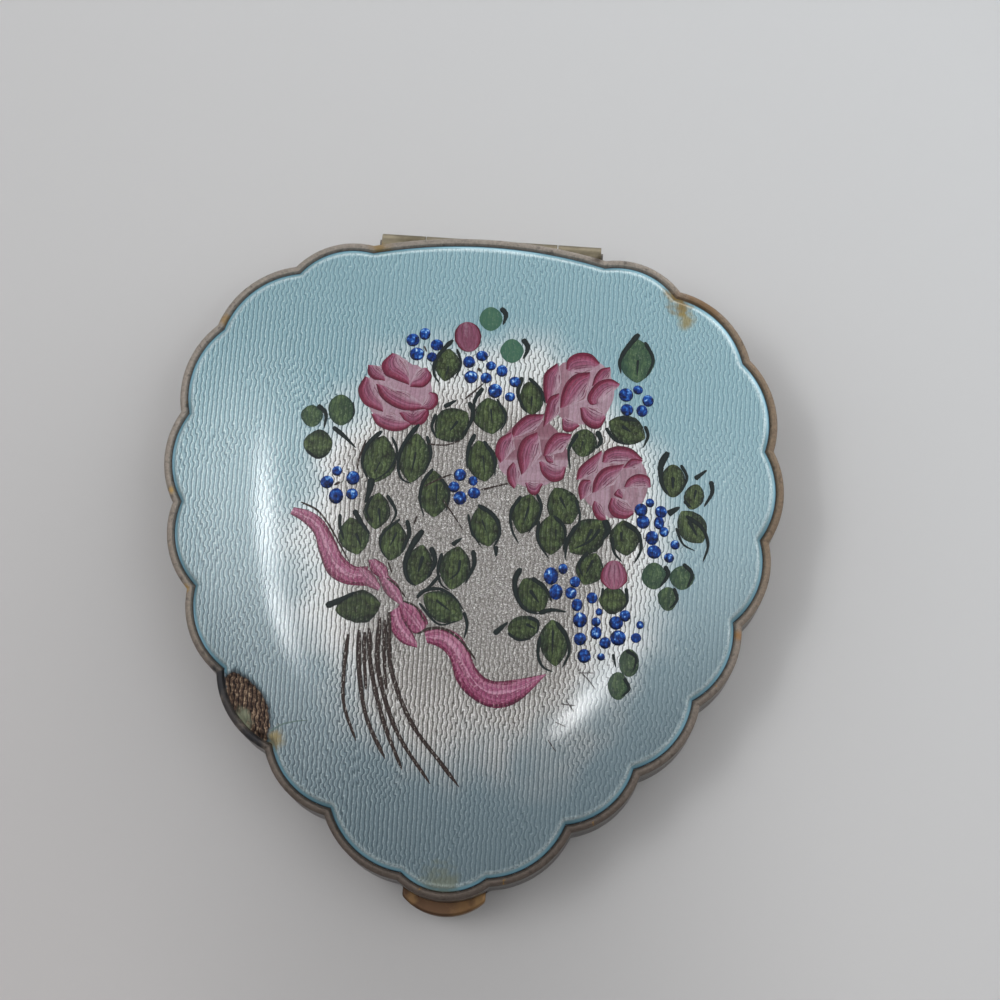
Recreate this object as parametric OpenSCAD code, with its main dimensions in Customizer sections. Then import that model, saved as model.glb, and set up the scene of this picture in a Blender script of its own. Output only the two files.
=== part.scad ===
// Scalloped powder compact with an enamelled lid, lying closed on its base.
// Origin: middle of the flat underside. +Y runs from the thumb catch to the hinge, +Z is up.

/* [Outline] */
// Width of the case across its widest lobes
case_w = 60.4; // [56:0.1:68]
// Length of the case from the front lobe to the rear lobe
case_l = 64.8; // [62:0.1:72]

/* [Case] */
// Height of the base shell up to the parting line
base_h = 5; // [4.9:0.1:5.6]
// Wall thickness of both pressed shells
wall_t = 0.55; // [0.45:0.05:0.6]
// Thickness of the base floor
floor_t = 0.6; // [0.4:0.05:0.7]
// Radius of the rounded lower edge of the base
base_round = 2; // [1.4:0.1:2.1]
// Gap between the base and the closed lid
part_gap = 0.15; // [0.1:0.05:0.3]
// Height of the lid wall from its lower edge to the top of the rim
lid_wall_h = 4.2; // [4.1:0.1:5]
// Width of the rolled rim, seen from above
rim_w = 0.75; // [0.65:0.05:1]
// Radius of the rim's outer rounding
rim_round = 0.45; // [0.3:0.05:0.5]
// Width of the rim's inner bevel, beside the enamel
rim_bevel = 0.2; // [0.1:0.05:0.25]

/* [Plaque] */
// Depth of the plaque's seat under the top of the rim
seat_drop = 0.85; // [0.75:0.05:1]
// How far the seat reaches in under the plaque
seat_w = 0.85; // [0.6:0.05:1.1]
// Thickness of the seat
seat_t = 0.4; // [0.3:0.05:0.5]
// Thickness of the engine-turned plate
plaque_t = 0.35; // [0.25:0.05:0.4]
// Thickness of the fired enamel
enamel_t = 0.35; // [0.25:0.05:0.4]
// Height of the dome over the plaque's edge
dome_h = 4.3; // [3:0.1:5.5]
// Height of the turned-down edge of the plaque
edge_turn = 0.3; // [0.2:0.05:0.4]
// Width of the turned-down edge
edge_turn_w = 0.55; // [0.4:0.05:0.8]

/* [Mirror] */
// Distance of the mirror's edge from the outline
mirror_inset = 3.9; // [3.7:0.1:4.6]
// Thickness of the mirror glass
mirror_t = 1; // [0.8:0.05:1.1]
// Thickness of the card behind the mirror
card_t = 0.45; // [0.3:0.05:0.5]
// Sheet thickness of the mirror frame
frame_t = 0.4; // [0.3:0.05:0.45]
// How deep the frame's lip hangs under its plate
frame_drop = 0.7; // [0.6:0.05:0.75]
// How far the frame's lip covers the mirror
lip_w = 0.8; // [0.5:0.1:1.2]

/* [Powder well] */
// Distance of the pan from the catch's guide
pan_front_gap = 3.3; // [2.8:0.1:5]
// Distance of the pan from the rear of the case
pan_rear_gap = 7.5; // [6.8:0.1:9]
// Least distance of the pan from the sides of the case
pan_side_gap = 6; // [5.6:0.1:7]
// Sheet thickness of the pan, tray and sifter ring
sheet_t = 0.4; // [0.3:0.05:0.45]
// Width of the pan's flange, which lies on the tray
pan_flange_w = 0.7; // [0.4:0.1:0.9]
// Height of the sifter ring
sifter_h = 2.4; // [1.8:0.1:2.5]
// Width of the sifter ring's flat rim
sifter_rim_w = 1.5; // [1:0.1:2.5]
// Spacing of the gauze's wires
gauze_pitch = 2.6; // [2.2:0.1:4]
// Width of a gauze wire
gauze_wire = 0.3; // [0.2:0.05:0.5]

/* [Tray] */
// Depth of the tray's deck under the parting line
deck_drop = 0.1; // [0.05:0.05:0.2]
// Height of the tray's lip over the parting line
lip_rise = 1; // [0.5:0.1:1.1]

/* [Puff] */
// Gap between the puff and the wall of the pan
puff_gap = 0.8; // [0.5:0.1:1.2]
// Gap between the puff's ribbon and the mirror frame over it
puff_clear = 0.25; // [0.15:0.05:1]
// Width of the puff's ribbon
ribbon_w = 9; // [6:0.5:12]
// Thickness of the ribbon
ribbon_t = 0.25; // [0.2:0.05:0.3]

/* [Hinge] */
// Length of the hinge barrel
hinge_l = 21.9; // [18:0.1:23]
// Radius of the hinge barrel
knuckle_r = 1.1; // [0.9:0.05:1.2]
// Radius of the hinge pin
pin_r = 0.5; // [0.4:0.05:0.55]
// How far the pin stands out at each end
pin_proud = 0.2; // [0:0.05:0.3]
// Distance of the hinge axis in front of the rear of the case
hinge_in = 0.15; // [0:0.05:0.3]
// Sheet thickness of the hinge leaves
leaf_t = 0.45; // [0.3:0.05:0.5]
// Number of knuckles, shared by the two leaves
knuckles = 5; // [3:2:7]

/* [Catch] */
// Half the width of the thumb piece
thumb_half_w = 4; // [3.4:0.1:4.1]
// Radius of the thumb piece's outer corners
thumb_corner = 0.8; // [0.4:0.1:1]
// How far the thumb piece stands out of the front lobe
thumb_out = 1.3; // [0.9:0.05:1.6]
// Height of the thumb piece
thumb_h = 2.1; // [1.6:0.1:2.2]
// Travel of the thumb piece when it is pressed
press = 0.75; // [0.7:0.05:0.8]
// Half the width of the catch's stem and hook
stem_half_w = 1.6; // [1.2:0.1:1.8]
// Thickness of the hook
hook_t = 0.6; // [0.5:0.05:0.7]
// How far the hook holds over the lid's keeper
hook_hold = 0.55; // [0.4:0.05:0.6]
// Outer radius of the catch spring
spring_r = 0.6; // [0.45:0.05:0.6]
// Radius of the spring's wire
spring_wire = 0.13; // [0.1:0.01:0.15]
// Number of turns of the catch spring
spring_turns = 6; // [4:1:8]

/* [Hidden] */
$fn = 64;

// Colours of the metals, the enamel and the soft parts
pewter = [0.52, 0.50, 0.46];
worn_brass = [0.56, 0.44, 0.26];
bright_brass = [0.80, 0.66, 0.38];
aqua = [0.60, 0.78, 0.82];

// Clearances and the overrun of every cut
over = 1;
seat_fit = 0.05;      // plaque in its seat, and enamel over the plaque
tray_fit = 0.15;      // tray inside the base wall
pan_fit = 0.1;        // pan in the tray's opening
sifter_fit = 0.15;    // sifter ring inside the pan
mirror_fit = 0.1;     // mirror inside its frame
pin_fit = 0.04;       // hinge pin in its knuckles
knuckle_fit = 0.1;    // between neighbouring knuckles
hinge_fit = 0.15;     // shells round the hinge barrel
leaf_fit = 0.03;      // leaves, keeper and catch parts against what they are soldered to
slide_fit = 0.12;     // thumb piece in its slot, stem in its guide
puff_fit = 0.05;      // puff on the sifter, ribbon on the puff
card_fit = 0.3;       // card inside the frame's opening

// The scalloped outline: the cusps of the right half from the front to the rear,
// as shares of half the width and of the length
cusp_shares = [[0.146, -0.476], [0.391, -0.389], [0.596, -0.299], [0.771, -0.190], [0.889, -0.067],
               [0.960, 0.062], [0.960, 0.201], [0.867, 0.339], [0.628, 0.438], [0.380, 0.479]];
// How far each lobe bulges, as a share of its chord
side_bulge_share = 0.136;
rear_bulge_share = 0.060;
front_bulge_share = 0.181;

half_w = case_w / 2;
half_l = case_l / 2;
side_count = len(cusp_shares);
right_cusps = [for (s = cusp_shares) [s.x * half_w, s.y * case_l]];
left_cusps = [for (i = [side_count - 1 : -1 : 0]) [-right_cusps[i].x, right_cusps[i].y]];
cusps = concat(right_cusps, left_cusps);
lobes = len(cusps);
rear = side_count - 1;
front = lobes - 1;
round_lobes = [for (i = [0 : lobes - 1]) if (i != rear) i];

// Each lobe is one arc through two cusps: its chord, radius and centre
function cusp(i) = cusps[i % lobes];
function bulge_share(i) = i == rear ? rear_bulge_share : i == front ? front_bulge_share : side_bulge_share;
function chord(i) = norm(cusp(i + 1) - cusp(i));
function outward(i) = [cusp(i + 1).y - cusp(i).y, cusp(i).x - cusp(i + 1).x] / chord(i);
function lobe_r(i) = chord(i) * (1 / 4 + pow(bulge_share(i), 2)) / (2 * bulge_share(i));
function lobe_c(i) = (cusp(i) + cusp(i + 1)) / 2 + outward(i) * (chord(i) * bulge_share(i) - lobe_r(i));
rear_y = lobe_c(rear).y + lobe_r(rear);
front_c = lobe_c(front);
front_r = lobe_r(front);
front_y = front_c.y - front_r;
// The wide rear lobe's disc is kept to the part beyond its two neighbours' centres
window_x = lobe_c(rear - 1).x;
window_y = lobe_c(rear - 1).y;

// The smooth outline inside the scallops, a circle with a threefold and a fivefold swell,
// in shares of half the width and half the length
swell_mean_share = 0.983;
swell_three_share = 0.0735;
swell_five_share = -0.0138;
swell_y_share = 0.088;
swell_c = [0, swell_y_share * half_l];
function swell_share(a) = swell_mean_share + swell_three_share * sin(3 * a) + swell_five_share * sin(5 * a);
function smooth_point(a) = swell_c + swell_share(a) * [half_w * cos(a), half_l * sin(a)];
// 0 at the middle of the case and about 1 at its edge
function edge_share(p) = let (u = (p.x - swell_c.x) / half_w, v = (p.y - swell_c.y) / half_l)
    norm([u, v]) / swell_share(atan2(v, u));

// Heights, from the table up
deck_z = base_h - deck_drop;
lid_z = base_h + part_gap;
rim_z = lid_z + lid_wall_h;
seat_z = rim_z - seat_drop;
seat_low_z = seat_z - seat_t;
frame_low_z = seat_low_z - frame_t;
lip_z = frame_low_z - frame_drop;
mirror_z = lip_z + frame_t;
card_z = mirror_z + mirror_t;
sifter_top_z = floor_t + sheet_t + sifter_h;
puff_z = sifter_top_z + puff_fit;
hinge_z = base_h + part_gap / 2;
hinge_y = rear_y - hinge_in;
notch_half_l = hinge_l / 2 + hinge_fit;
notch_r = knuckle_r + hinge_fit;

// Places of the catch, from the front wall inwards
thumb_low_z = deck_z - thumb_h;
thumb_slot_half_w = thumb_half_w + slide_fit;
neck_top_z = deck_z - sheet_t - slide_fit;
tab_inner_r = front_r - wall_t / 2;
tab_inner_y = front_c.y - sqrt(pow(tab_inner_r, 2) - pow(thumb_half_w, 2));
shoulder_t = 0.6;
shoulder_half_w = 4.9;
shoulder_low_z = base_round;
// the shoulders stop on the ridges that the front cusps form inside the wall
ridge_y = lobe_c(0).y - sqrt(pow(lobe_r(0) - wall_t, 2) - pow(shoulder_half_w - lobe_c(0).x, 2));
shoulder_y = ridge_y + slide_fit;
stem_y = shoulder_y + shoulder_t + leaf_fit;
stem_h = 1.2;
stem_l = 3.4;
keeper_t = 0.4;
keeper_half_w = 2.6;
keeper_reach = 0.8;
keeper_low_z = lid_z + keeper_t + slide_fit;
keeper_h = 1.9;
keeper_face_y = front_y + wall_t + leaf_fit + keeper_t;
keeper_edge_y = keeper_face_y + keeper_reach;
hook_low_z = keeper_low_z + keeper_t + slide_fit;
hook_tip_y = keeper_edge_y - hook_hold;
guide_t = 0.4;
guide_gap = 0.1;
guide_y = stem_y + hook_t + press + guide_gap;
guide_half_w = stem_half_w + slide_fit;
guide_deck_gap = 0.8;
guide_top_z = deck_z - sheet_t - guide_deck_gap;
stem_low_z = guide_top_z - guide_t - slide_fit - stem_h;
guide_low_z = stem_low_z - slide_fit - guide_t;
guide_lip_w = 0.7;
spring_l = 2.8;
spring_y = stem_y + hook_t + stem_l + leaf_fit;
guide_end_y = spring_y + spring_l + leaf_fit;
spring_z = stem_low_z + stem_h / 2;

// The pan fills the room between the guide and the hinge, and keeps off the sides
pan_y0 = guide_end_y + guide_t + pan_front_gap;
pan_y1 = rear_y - pan_rear_gap;
pan_y = (pan_y0 + pan_y1) / 2;
pan_r = min((pan_y1 - pan_y0) / 2, half_w - pan_side_gap);
sifter_r = pan_r - sheet_t - sifter_fit;
puff_r = pan_r - sheet_t - puff_gap;
puff_t = lip_z - puff_clear - ribbon_t - puff_fit - puff_z;

module lift(z) {
    translate([0, 0, z]) children();
}

// The part of the plan that belongs to the wide rear lobe
module rear_window() {
    translate([-window_x, window_y - over]) square([2 * window_x, rear_y - window_y + 2 * over]);
}

module centres_plan() {
    polygon([for (i = round_lobes) lobe_c(i)]);
}

// The scalloped plan, drawn in by inset
module lobed_plan(inset = 0) {
    centres_plan();
    for (i = round_lobes)
        translate(lobe_c(i)) circle(r = lobe_r(i) - inset);
    intersection() {
        translate(lobe_c(rear)) circle(r = lobe_r(rear) - inset);
        rear_window();
    }
}

module lobed_prism(inset, z0, z1) {
    lift(z0) linear_extrude(z1 - z0) lobed_plan(inset);
}

// A cut that follows the plan drawn in by inset and widens upwards, at 45 degrees, from z
module lobed_bevel(inset, z, w) {
    h = w + over;
    for (i = round_lobes)
        translate([lobe_c(i).x, lobe_c(i).y, z])
            cylinder(r1 = lobe_r(i) - inset, r2 = lobe_r(i) - inset + h, h = h);
    intersection() {
        translate([lobe_c(rear).x, lobe_c(rear).y, z])
            cylinder(r1 = lobe_r(rear) - inset, r2 = lobe_r(rear) - inset + h, h = h);
        lift(z) linear_extrude(h) rear_window();
    }
}

// Half of a disc's section, with its upper outer corner rounded
module rounded_section(r, h, bend) {
    square([r, h - bend]);
    square([r - bend, h]);
    translate([r - bend, h - bend]) circle(r = bend, $fn = 32);
}

// A scalloped block whose upper edge is rounded all the way round
module lobed_block(inset, h, bend) {
    linear_extrude(h) centres_plan();
    for (i = round_lobes)
        translate(lobe_c(i)) rotate_extrude() rounded_section(lobe_r(i) - inset, h, bend);
    intersection() {
        translate(lobe_c(rear)) rotate_extrude() rounded_section(lobe_r(rear) - inset, h, bend);
        linear_extrude(h) rear_window();
    }
}

// The smooth plan inside the scallops, drawn in by inset
module smooth_plan(inset) {
    polygon([for (a = [0 : 3 : 357]) let (p = smooth_point(a), q = p - swell_c) p - inset * q / norm(q)]);
}

module smooth_prism(inset, z0, z1) {
    lift(z0) linear_extrude(z1 - z0) smooth_plan(inset);
}

// A bar centred on x = 0 from y0 to y1 and z0 to z1
module bar(half_x, y0, y1, z0, z1) {
    translate([-half_x, y0, z0]) cube([2 * half_x, y1 - y0, z1 - z0]);
}

// A band between two radii round a lobe's centre
module lobe_band(i, r0, r1, z0, z1) {
    translate([lobe_c(i).x, lobe_c(i).y, z0]) difference() {
        cylinder(r = r1, h = z1 - z0);
        lift(-over) cylinder(r = r0, h = z1 - z0 + 2 * over);
    }
}

// The room for the hinge barrel in both shells
module hinge_notch() {
    bar(notch_half_l, rear_y - 2 * notch_r, rear_y + over, hinge_z - notch_r, hinge_z + notch_r);
}

module base_shell() {
    color(pewter) difference() {
        lift(base_h) mirror([0, 0, 1]) lobed_block(0, base_h, base_round);
        lift(base_h + over) mirror([0, 0, 1])
            lobed_block(wall_t, base_h + over - floor_t, base_round - floor_t);
        hinge_notch();
        bar(thumb_slot_half_w, front_y - over, ridge_y, thumb_low_z - slide_fit, base_h + over);
    }
}

module inner_tray() {
    edge = wall_t + tray_fit;
    barrel_y = hinge_y - notch_r;
    color(bright_brass) difference() {
        union() {
            lobed_prism(edge, deck_z - sheet_t, deck_z);
            difference() {
                lobed_prism(edge, base_round + tray_fit, base_h + lip_rise);
                lobed_prism(edge + sheet_t, -over, rim_z);
                bar(notch_half_l + wall_t, barrel_y - 2 * knuckle_r, rear_y, -over, rim_z);
                bar(shoulder_half_w + slide_fit, front_y, shoulder_y + press, -over, rim_z);
            }
        }
        bar(notch_half_l + wall_t, barrel_y, rear_y + over, -over, rim_z);
        bar(thumb_slot_half_w, front_y - over, tab_inner_y + press + slide_fit, -over, rim_z);
        bar(stem_half_w + 2 * slide_fit, front_y, guide_y, -over, rim_z);
        translate([0, pan_y, -over]) cylinder(r = pan_r + pan_fit, h = rim_z);
    }
}

module powder_pan() {
    flange_z = deck_z + sheet_t;
    color(bright_brass) translate([0, pan_y, 0]) difference() {
        union() {
            lift(floor_t) cylinder(r = pan_r, h = flange_z - floor_t);
            lift(deck_z) cylinder(r = pan_r + pan_flange_w, h = sheet_t);
        }
        lift(floor_t + sheet_t) cylinder(r = pan_r - sheet_t, h = flange_z);
    }
}

module sifter_ring() {
    color(bright_brass) translate([0, pan_y, floor_t + sheet_t]) difference() {
        cylinder(r = sifter_r, h = sifter_h);
        lift(-over) cylinder(r = sifter_r - sheet_t, h = sifter_h - sheet_t + over);
        cylinder(r = sifter_r - sheet_t - sifter_rim_w, h = sifter_h + over);
    }
}

// Woven gauze, drawn as a flat net with square gaps
module sifter_gauze() {
    gauze_r = sifter_r - sheet_t - sifter_fit;
    wires = floor(gauze_r / gauze_pitch);
    module wires_plan() {
        for (i = [-wires : wires])
            translate([i * gauze_pitch - gauze_wire / 2, -gauze_r]) square([gauze_wire, 2 * gauze_r]);
    }
    color("silver") translate([0, pan_y, sifter_top_z - sheet_t - gauze_wire]) linear_extrude(gauze_wire)
        union() {
            difference() {
                circle(r = gauze_r);
                circle(r = gauze_r - sheet_t);
            }
            intersection() {
                circle(r = gauze_r);
                union() {
                    wires_plan();
                    rotate(90) wires_plan();
                }
            }
        }
}

// The puff is turned: a full crown over its seam, and a flatter underside
seam_share = 0.34;
crown_power = 2.6;
puff_steps = 14;

module puff_turned(grow = 0) {
    seam = puff_t * seam_share;
    crown = puff_t - seam + grow;
    out = puff_r + grow;
    function round_share(a) = [pow(cos(a), 2 / crown_power), pow(sin(a), 2 / crown_power)];
    upper = [for (k = [0 : puff_steps]) let (s = round_share(90 * k / puff_steps)) [out * s.x, crown * s.y]];
    lower = [for (k = [1 : puff_steps / 2]) let (a = 180 * k / puff_steps)
        [out - seam + seam * cos(a), -seam * sin(a)]];
    lift(puff_z + seam) rotate_extrude()
        polygon(concat(upper, [[0, -seam]], [for (k = [len(lower) - 1 : -1 : 0]) lower[k]]));
}

module powder_puff() {
    color([0.93, 0.80, 0.76]) translate([0, pan_y, 0]) puff_turned();
}

// A satin band over the crown of the puff, for a finger
module puff_ribbon() {
    ribbon_half_l = puff_r - puff_t / 2;
    color([0.90, 0.62, 0.66]) translate([0, pan_y, 0]) intersection() {
        difference() {
            puff_turned(puff_fit + ribbon_t);
            puff_turned(puff_fit);
        }
        translate([-ribbon_half_l, -ribbon_w / 2, puff_z + puff_t / 2])
            cube([2 * ribbon_half_l, ribbon_w, puff_t]);
    }
}

knuckle_l = (hinge_l - (knuckles - 1) * knuckle_fit) / knuckles;

module knuckle(i) {
    x0 = -hinge_l / 2 + i * (knuckle_l + knuckle_fit);
    translate([x0, hinge_y, hinge_z]) rotate([0, 90, 0]) cylinder(r = knuckle_r, h = knuckle_l);
}

module pin_bore() {
    translate([-hinge_l / 2 - over, hinge_y, hinge_z]) rotate([0, 90, 0])
        cylinder(r = pin_r + pin_fit, h = hinge_l + 2 * over);
}

// The room that the other leaf's knuckles need in this leaf's plate
module knuckle_gap(i) {
    x0 = -hinge_l / 2 + i * (knuckle_l + knuckle_fit) - knuckle_fit;
    translate([x0, hinge_y - notch_r, hinge_z - notch_r])
        cube([knuckle_l + 2 * knuckle_fit, 2 * notch_r, 2 * notch_r]);
}

// One leaf: a plate off the barrel and a strip that follows the inside of the rear wall.
// The first knuckle is the leaf's own when first is 0, and the other leaf's when it is 1.
module hinge_leaf(first, plate_z0, plate_z1, strip_z0, strip_z1) {
    strip_r = lobe_r(rear) - wall_t - leaf_fit;
    difference() {
        union() {
            for (i = [first : 2 : knuckles - 1]) knuckle(i);
            difference() {
                union() {
                    intersection() {
                        bar(hinge_l / 2, window_y, hinge_y, plate_z0, plate_z1);
                        lobe_band(rear, strip_r - leaf_t, lobe_r(rear) + knuckle_r, plate_z0, plate_z1);
                    }
                    intersection() {
                        bar(hinge_l / 2, window_y, hinge_y, strip_z0, strip_z1);
                        lobe_band(rear, strip_r - leaf_t, strip_r, strip_z0, strip_z1);
                    }
                }
                for (i = [1 - first : 2 : knuckles - 1]) knuckle_gap(i);
            }
        }
        pin_bore();
    }
}

// How far a leaf's plate lies inside the top or bottom of the barrel
leaf_sink = 0.05;

module base_hinge_leaf() {
    plate_z0 = hinge_z - knuckle_r + leaf_sink;
    color(worn_brass)
        hinge_leaf(0, plate_z0, plate_z0 + leaf_t, base_round + tray_fit, plate_z0 + leaf_t);
}

module lid_hinge_leaf() {
    plate_z1 = hinge_z + knuckle_r - leaf_sink;
    color(worn_brass)
        hinge_leaf(1, plate_z1 - leaf_t, plate_z1, plate_z1 - leaf_t, frame_low_z - leaf_fit);
}

module hinge_pin() {
    pin_l = hinge_l + 2 * pin_proud;
    color("dimgray") translate([-pin_l / 2, hinge_y, hinge_z]) rotate([0, 90, 0])
        cylinder(r = pin_r, h = pin_l);
}

// The brass piece under the front lobe: a curved tab, a neck through the slot, and two shoulders
module thumb_piece() {
    tab_r = front_r + thumb_out;
    tab_y = front_c.y - sqrt(pow(tab_r, 2) - pow(thumb_half_w, 2));
    color(worn_brass) {
        intersection() {
            lobe_band(front, tab_inner_r, tab_r, thumb_low_z, deck_z);
            union() {
                bar(thumb_half_w, tab_y + thumb_corner, front_c.y, thumb_low_z, deck_z);
                bar(thumb_half_w - thumb_corner, front_y - 2 * thumb_out, front_c.y, thumb_low_z, deck_z);
                for (side = [-1, 1])
                    translate([side * (thumb_half_w - thumb_corner), tab_y + thumb_corner, thumb_low_z])
                        cylinder(r = thumb_corner, h = thumb_h);
            }
        }
        bar(thumb_half_w, front_y + wall_t, shoulder_y + shoulder_t, thumb_low_z, neck_top_z);
        bar(shoulder_half_w, shoulder_y, shoulder_y + shoulder_t, shoulder_low_z, neck_top_z);
    }
}

// Stem, upright and nose of the catch, bent from one strip
module catch_hook() {
    upright_y = stem_y + hook_t;
    color(bright_brass) {
        bar(stem_half_w, stem_y, upright_y + stem_l, stem_low_z, stem_low_z + stem_h);
        translate([-stem_half_w, 0, 0]) rotate([90, 0, 90]) linear_extrude(2 * stem_half_w)
            polygon([[upright_y, stem_low_z], [upright_y, hook_low_z + hook_t],
                     [hook_tip_y + hook_t / 2, hook_low_z + hook_t], [hook_tip_y, hook_low_z + hook_t / 2],
                     [hook_tip_y, hook_low_z], [stem_y, hook_low_z], [stem_y, stem_low_z]]);
    }
}

// A folded channel on the base floor that the stem runs in
module catch_guide() {
    outer = guide_half_w + guide_t;
    color(bright_brass) {
        for (side = [0, 1]) mirror([side, 0, 0])
            translate([guide_half_w, guide_y, floor_t])
                cube([guide_t, guide_end_y + guide_t - guide_y, guide_top_z - floor_t]);
        bar(outer, guide_y, guide_end_y + guide_t, guide_low_z, guide_low_z + guide_t);
        bar(outer, guide_end_y, guide_end_y + guide_t, floor_t, guide_top_z);
        for (side = [0, 1]) mirror([side, 0, 0])
            translate([guide_half_w - guide_lip_w, guide_y, guide_top_z - guide_t])
                cube([guide_lip_w + guide_t, guide_end_y + guide_t - guide_y, guide_t]);
    }
}

// A compression spring behind the stem, swept along its helix
module catch_spring() {
    sides = 6;
    steps = 10;
    mean_r = spring_r - spring_wire;
    pitch = (spring_l - 2 * spring_wire) / spring_turns;
    count = spring_turns * steps;
    function ring_point(i, k) = let (turn = 360 * i / steps, a = 360 * k / sides,
                                     r = mean_r + spring_wire * cos(a))
        [r * cos(turn), spring_wire + pitch * i / steps + spring_wire * sin(a), r * sin(turn)];
    points = [for (i = [0 : count]) for (k = [0 : sides - 1]) ring_point(i, k)];
    walls = [for (i = [0 : count - 1]) for (k = [0 : sides - 1]) let (n = (k + 1) % sides)
        each [[i * sides + k, (i + 1) * sides + n, i * sides + n],
              [i * sides + k, (i + 1) * sides + k, (i + 1) * sides + n]]];
    ends = [[for (k = [0 : sides - 1]) k], [for (k = [sides - 1 : -1 : 0]) count * sides + k]];
    color("silver") translate([0, spring_y, spring_z]) polyhedron(points, concat(walls, ends));
}

module lid_shell() {
    color(pewter) difference() {
        lift(lid_z) lobed_block(0, lid_wall_h, rim_round);
        lobed_prism(rim_w, seat_z, rim_z + over);
        lobed_bevel(rim_w, rim_z - rim_bevel, rim_bevel);
        lobed_prism(rim_w + seat_w, lid_z - over, rim_z);
        lobed_prism(wall_t, lid_z - over, seat_low_z);
        hinge_notch();
    }
}

// A domed plate whose edge follows the scallops and whose crown is smooth.
// Rings of the outline shrink towards the middle, and each point rises by its place on the dome.
ring_shares = [0.92, 0.82, 0.7, 0.56, 0.42, 0.28, 0.14];
dome_power = 2.2;
// Length of the straight steps that draw the plate's arcs
arc_step = 1.5;

// Where the arc of lobe i meets the one before it, both drawn in by inset
function inset_cusp(i, inset) =
    let (j = (i + lobes - 1) % lobes, a = lobe_c(j), b = lobe_c(i), d = norm(b - a), e = (b - a) / d,
         ra = lobe_r(j) - inset, rb = lobe_r(i) - inset, along = (d * d + ra * ra - rb * rb) / (2 * d))
    a + along * e + sqrt(ra * ra - along * along) * [e.y, -e.x];

// Points along lobe i's arc, from its first cusp up to the next one
function arc_points(i, inset) =
    let (c = lobe_c(i), r = lobe_r(i) - inset, p = inset_cusp(i, inset) - c,
         q = inset_cusp((i + 1) % lobes, inset) - c, a0 = atan2(p.y, p.x),
         sweep = (atan2(q.y, q.x) - a0 + 360) % 360, steps = ceil(chord(i) / arc_step))
    [for (k = [0 : steps - 1]) c + r * [cos(a0 + sweep * k / steps), sin(a0 + sweep * k / steps)]];

plate_inset = rim_w + seat_fit;
edge_points = [for (i = [0 : lobes - 1]) each arc_points(i, plate_inset)];
points_round = len(edge_points);

function dome_rise(p) = dome_h * max(0, 1 - pow(edge_share(p) * half_w / (half_w - plate_inset), dome_power));

module domed_plate(z, t) {
    turned_share = 1 - edge_turn_w / half_w;
    shares = concat([1, turned_share], ring_shares);
    rings = len(shares);
    function dome_point(j, k, dz) =
        let (p = swell_c + (edge_points[k] - swell_c) * shares[j])
        [p.x, p.y, z + dz + (j == 0 ? 0 : edge_turn + dome_rise(p))];
    tops = [for (j = [0 : rings - 1]) for (k = [0 : points_round - 1]) dome_point(j, k, t)];
    lows = [for (j = [0 : rings - 1]) for (k = [0 : points_round - 1]) dome_point(j, k, 0)];
    crown = z + edge_turn + dome_h;
    points = concat(tops, lows, [[swell_c.x, swell_c.y, crown + t], [swell_c.x, swell_c.y, crown]]);
    low0 = rings * points_round;
    top_mid = 2 * low0;
    low_mid = top_mid + 1;
    function after(k) = (k + 1) % points_round;
    faces = [for (j = [0 : rings - 2]) for (k = [0 : points_round - 1])
        let (a = j * points_round + k, b = j * points_round + after(k),
             c = (j + 1) * points_round + after(k), d = (j + 1) * points_round + k)
        each [[a, c, b], [a, d, c],
              [low0 + a, low0 + b, low0 + c], [low0 + a, low0 + c, low0 + d]]];
    walls = [for (k = [0 : points_round - 1])
        each [[k, after(k), low0 + after(k)], [k, low0 + after(k), low0 + k]]];
    inner = (rings - 1) * points_round;
    caps = [for (k = [0 : points_round - 1])
        each [[inner + k, top_mid, inner + after(k)],
              [low0 + inner + k, low0 + inner + after(k), low_mid]]];
    polyhedron(points, concat(faces, walls, caps));
}

module guilloche_plaque() {
    color("silver") domed_plate(seat_z, plaque_t);
}

module enamel_layer() {
    color(aqua) domed_plate(seat_z + plaque_t + seat_fit, enamel_t);
}

// Plate, collar and lip that hold the mirror under the lid
module mirror_frame() {
    collar = mirror_inset - mirror_fit;
    color(bright_brass) difference() {
        union() {
            lobed_prism(wall_t + tray_fit + sheet_t, frame_low_z, seat_low_z);
            smooth_prism(collar - frame_t, lip_z, frame_low_z);
        }
        smooth_prism(collar, mirror_z, seat_z);
        smooth_prism(mirror_inset + lip_w, lip_z - over, seat_z);
    }
}

module mirror_glass() {
    color([0.82, 0.87, 0.90]) smooth_prism(mirror_inset, mirror_z, card_z);
}

module backing_card() {
    color([0.62, 0.52, 0.38]) smooth_prism(mirror_inset + card_fit, card_z, card_z + card_t);
}

// An angle inside the front of the lid, whose lip the hook holds
module lid_keeper() {
    keeper_r = front_r - wall_t - leaf_fit;
    color(bright_brass) {
        intersection() {
            lobe_band(front, keeper_r - keeper_t, keeper_r, keeper_low_z, keeper_low_z + keeper_h);
            bar(keeper_half_w, front_y, front_c.y, keeper_low_z, keeper_low_z + keeper_h);
        }
        intersection() {
            translate([front_c.x, front_c.y, keeper_low_z]) cylinder(r = keeper_r, h = keeper_t);
            bar(keeper_half_w, front_y, keeper_edge_y, keeper_low_z, keeper_low_z + keeper_t);
        }
    }
}

base_shell();
inner_tray();
powder_pan();
sifter_ring();
sifter_gauze();
powder_puff();
puff_ribbon();
base_hinge_leaf();
hinge_pin();
catch_guide();
catch_spring();
thumb_piece();
catch_hook();
lid_shell();
guilloche_plaque();
enamel_layer();
mirror_frame();
mirror_glass();
backing_card();
lid_hinge_leaf();
lid_keeper();
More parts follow.
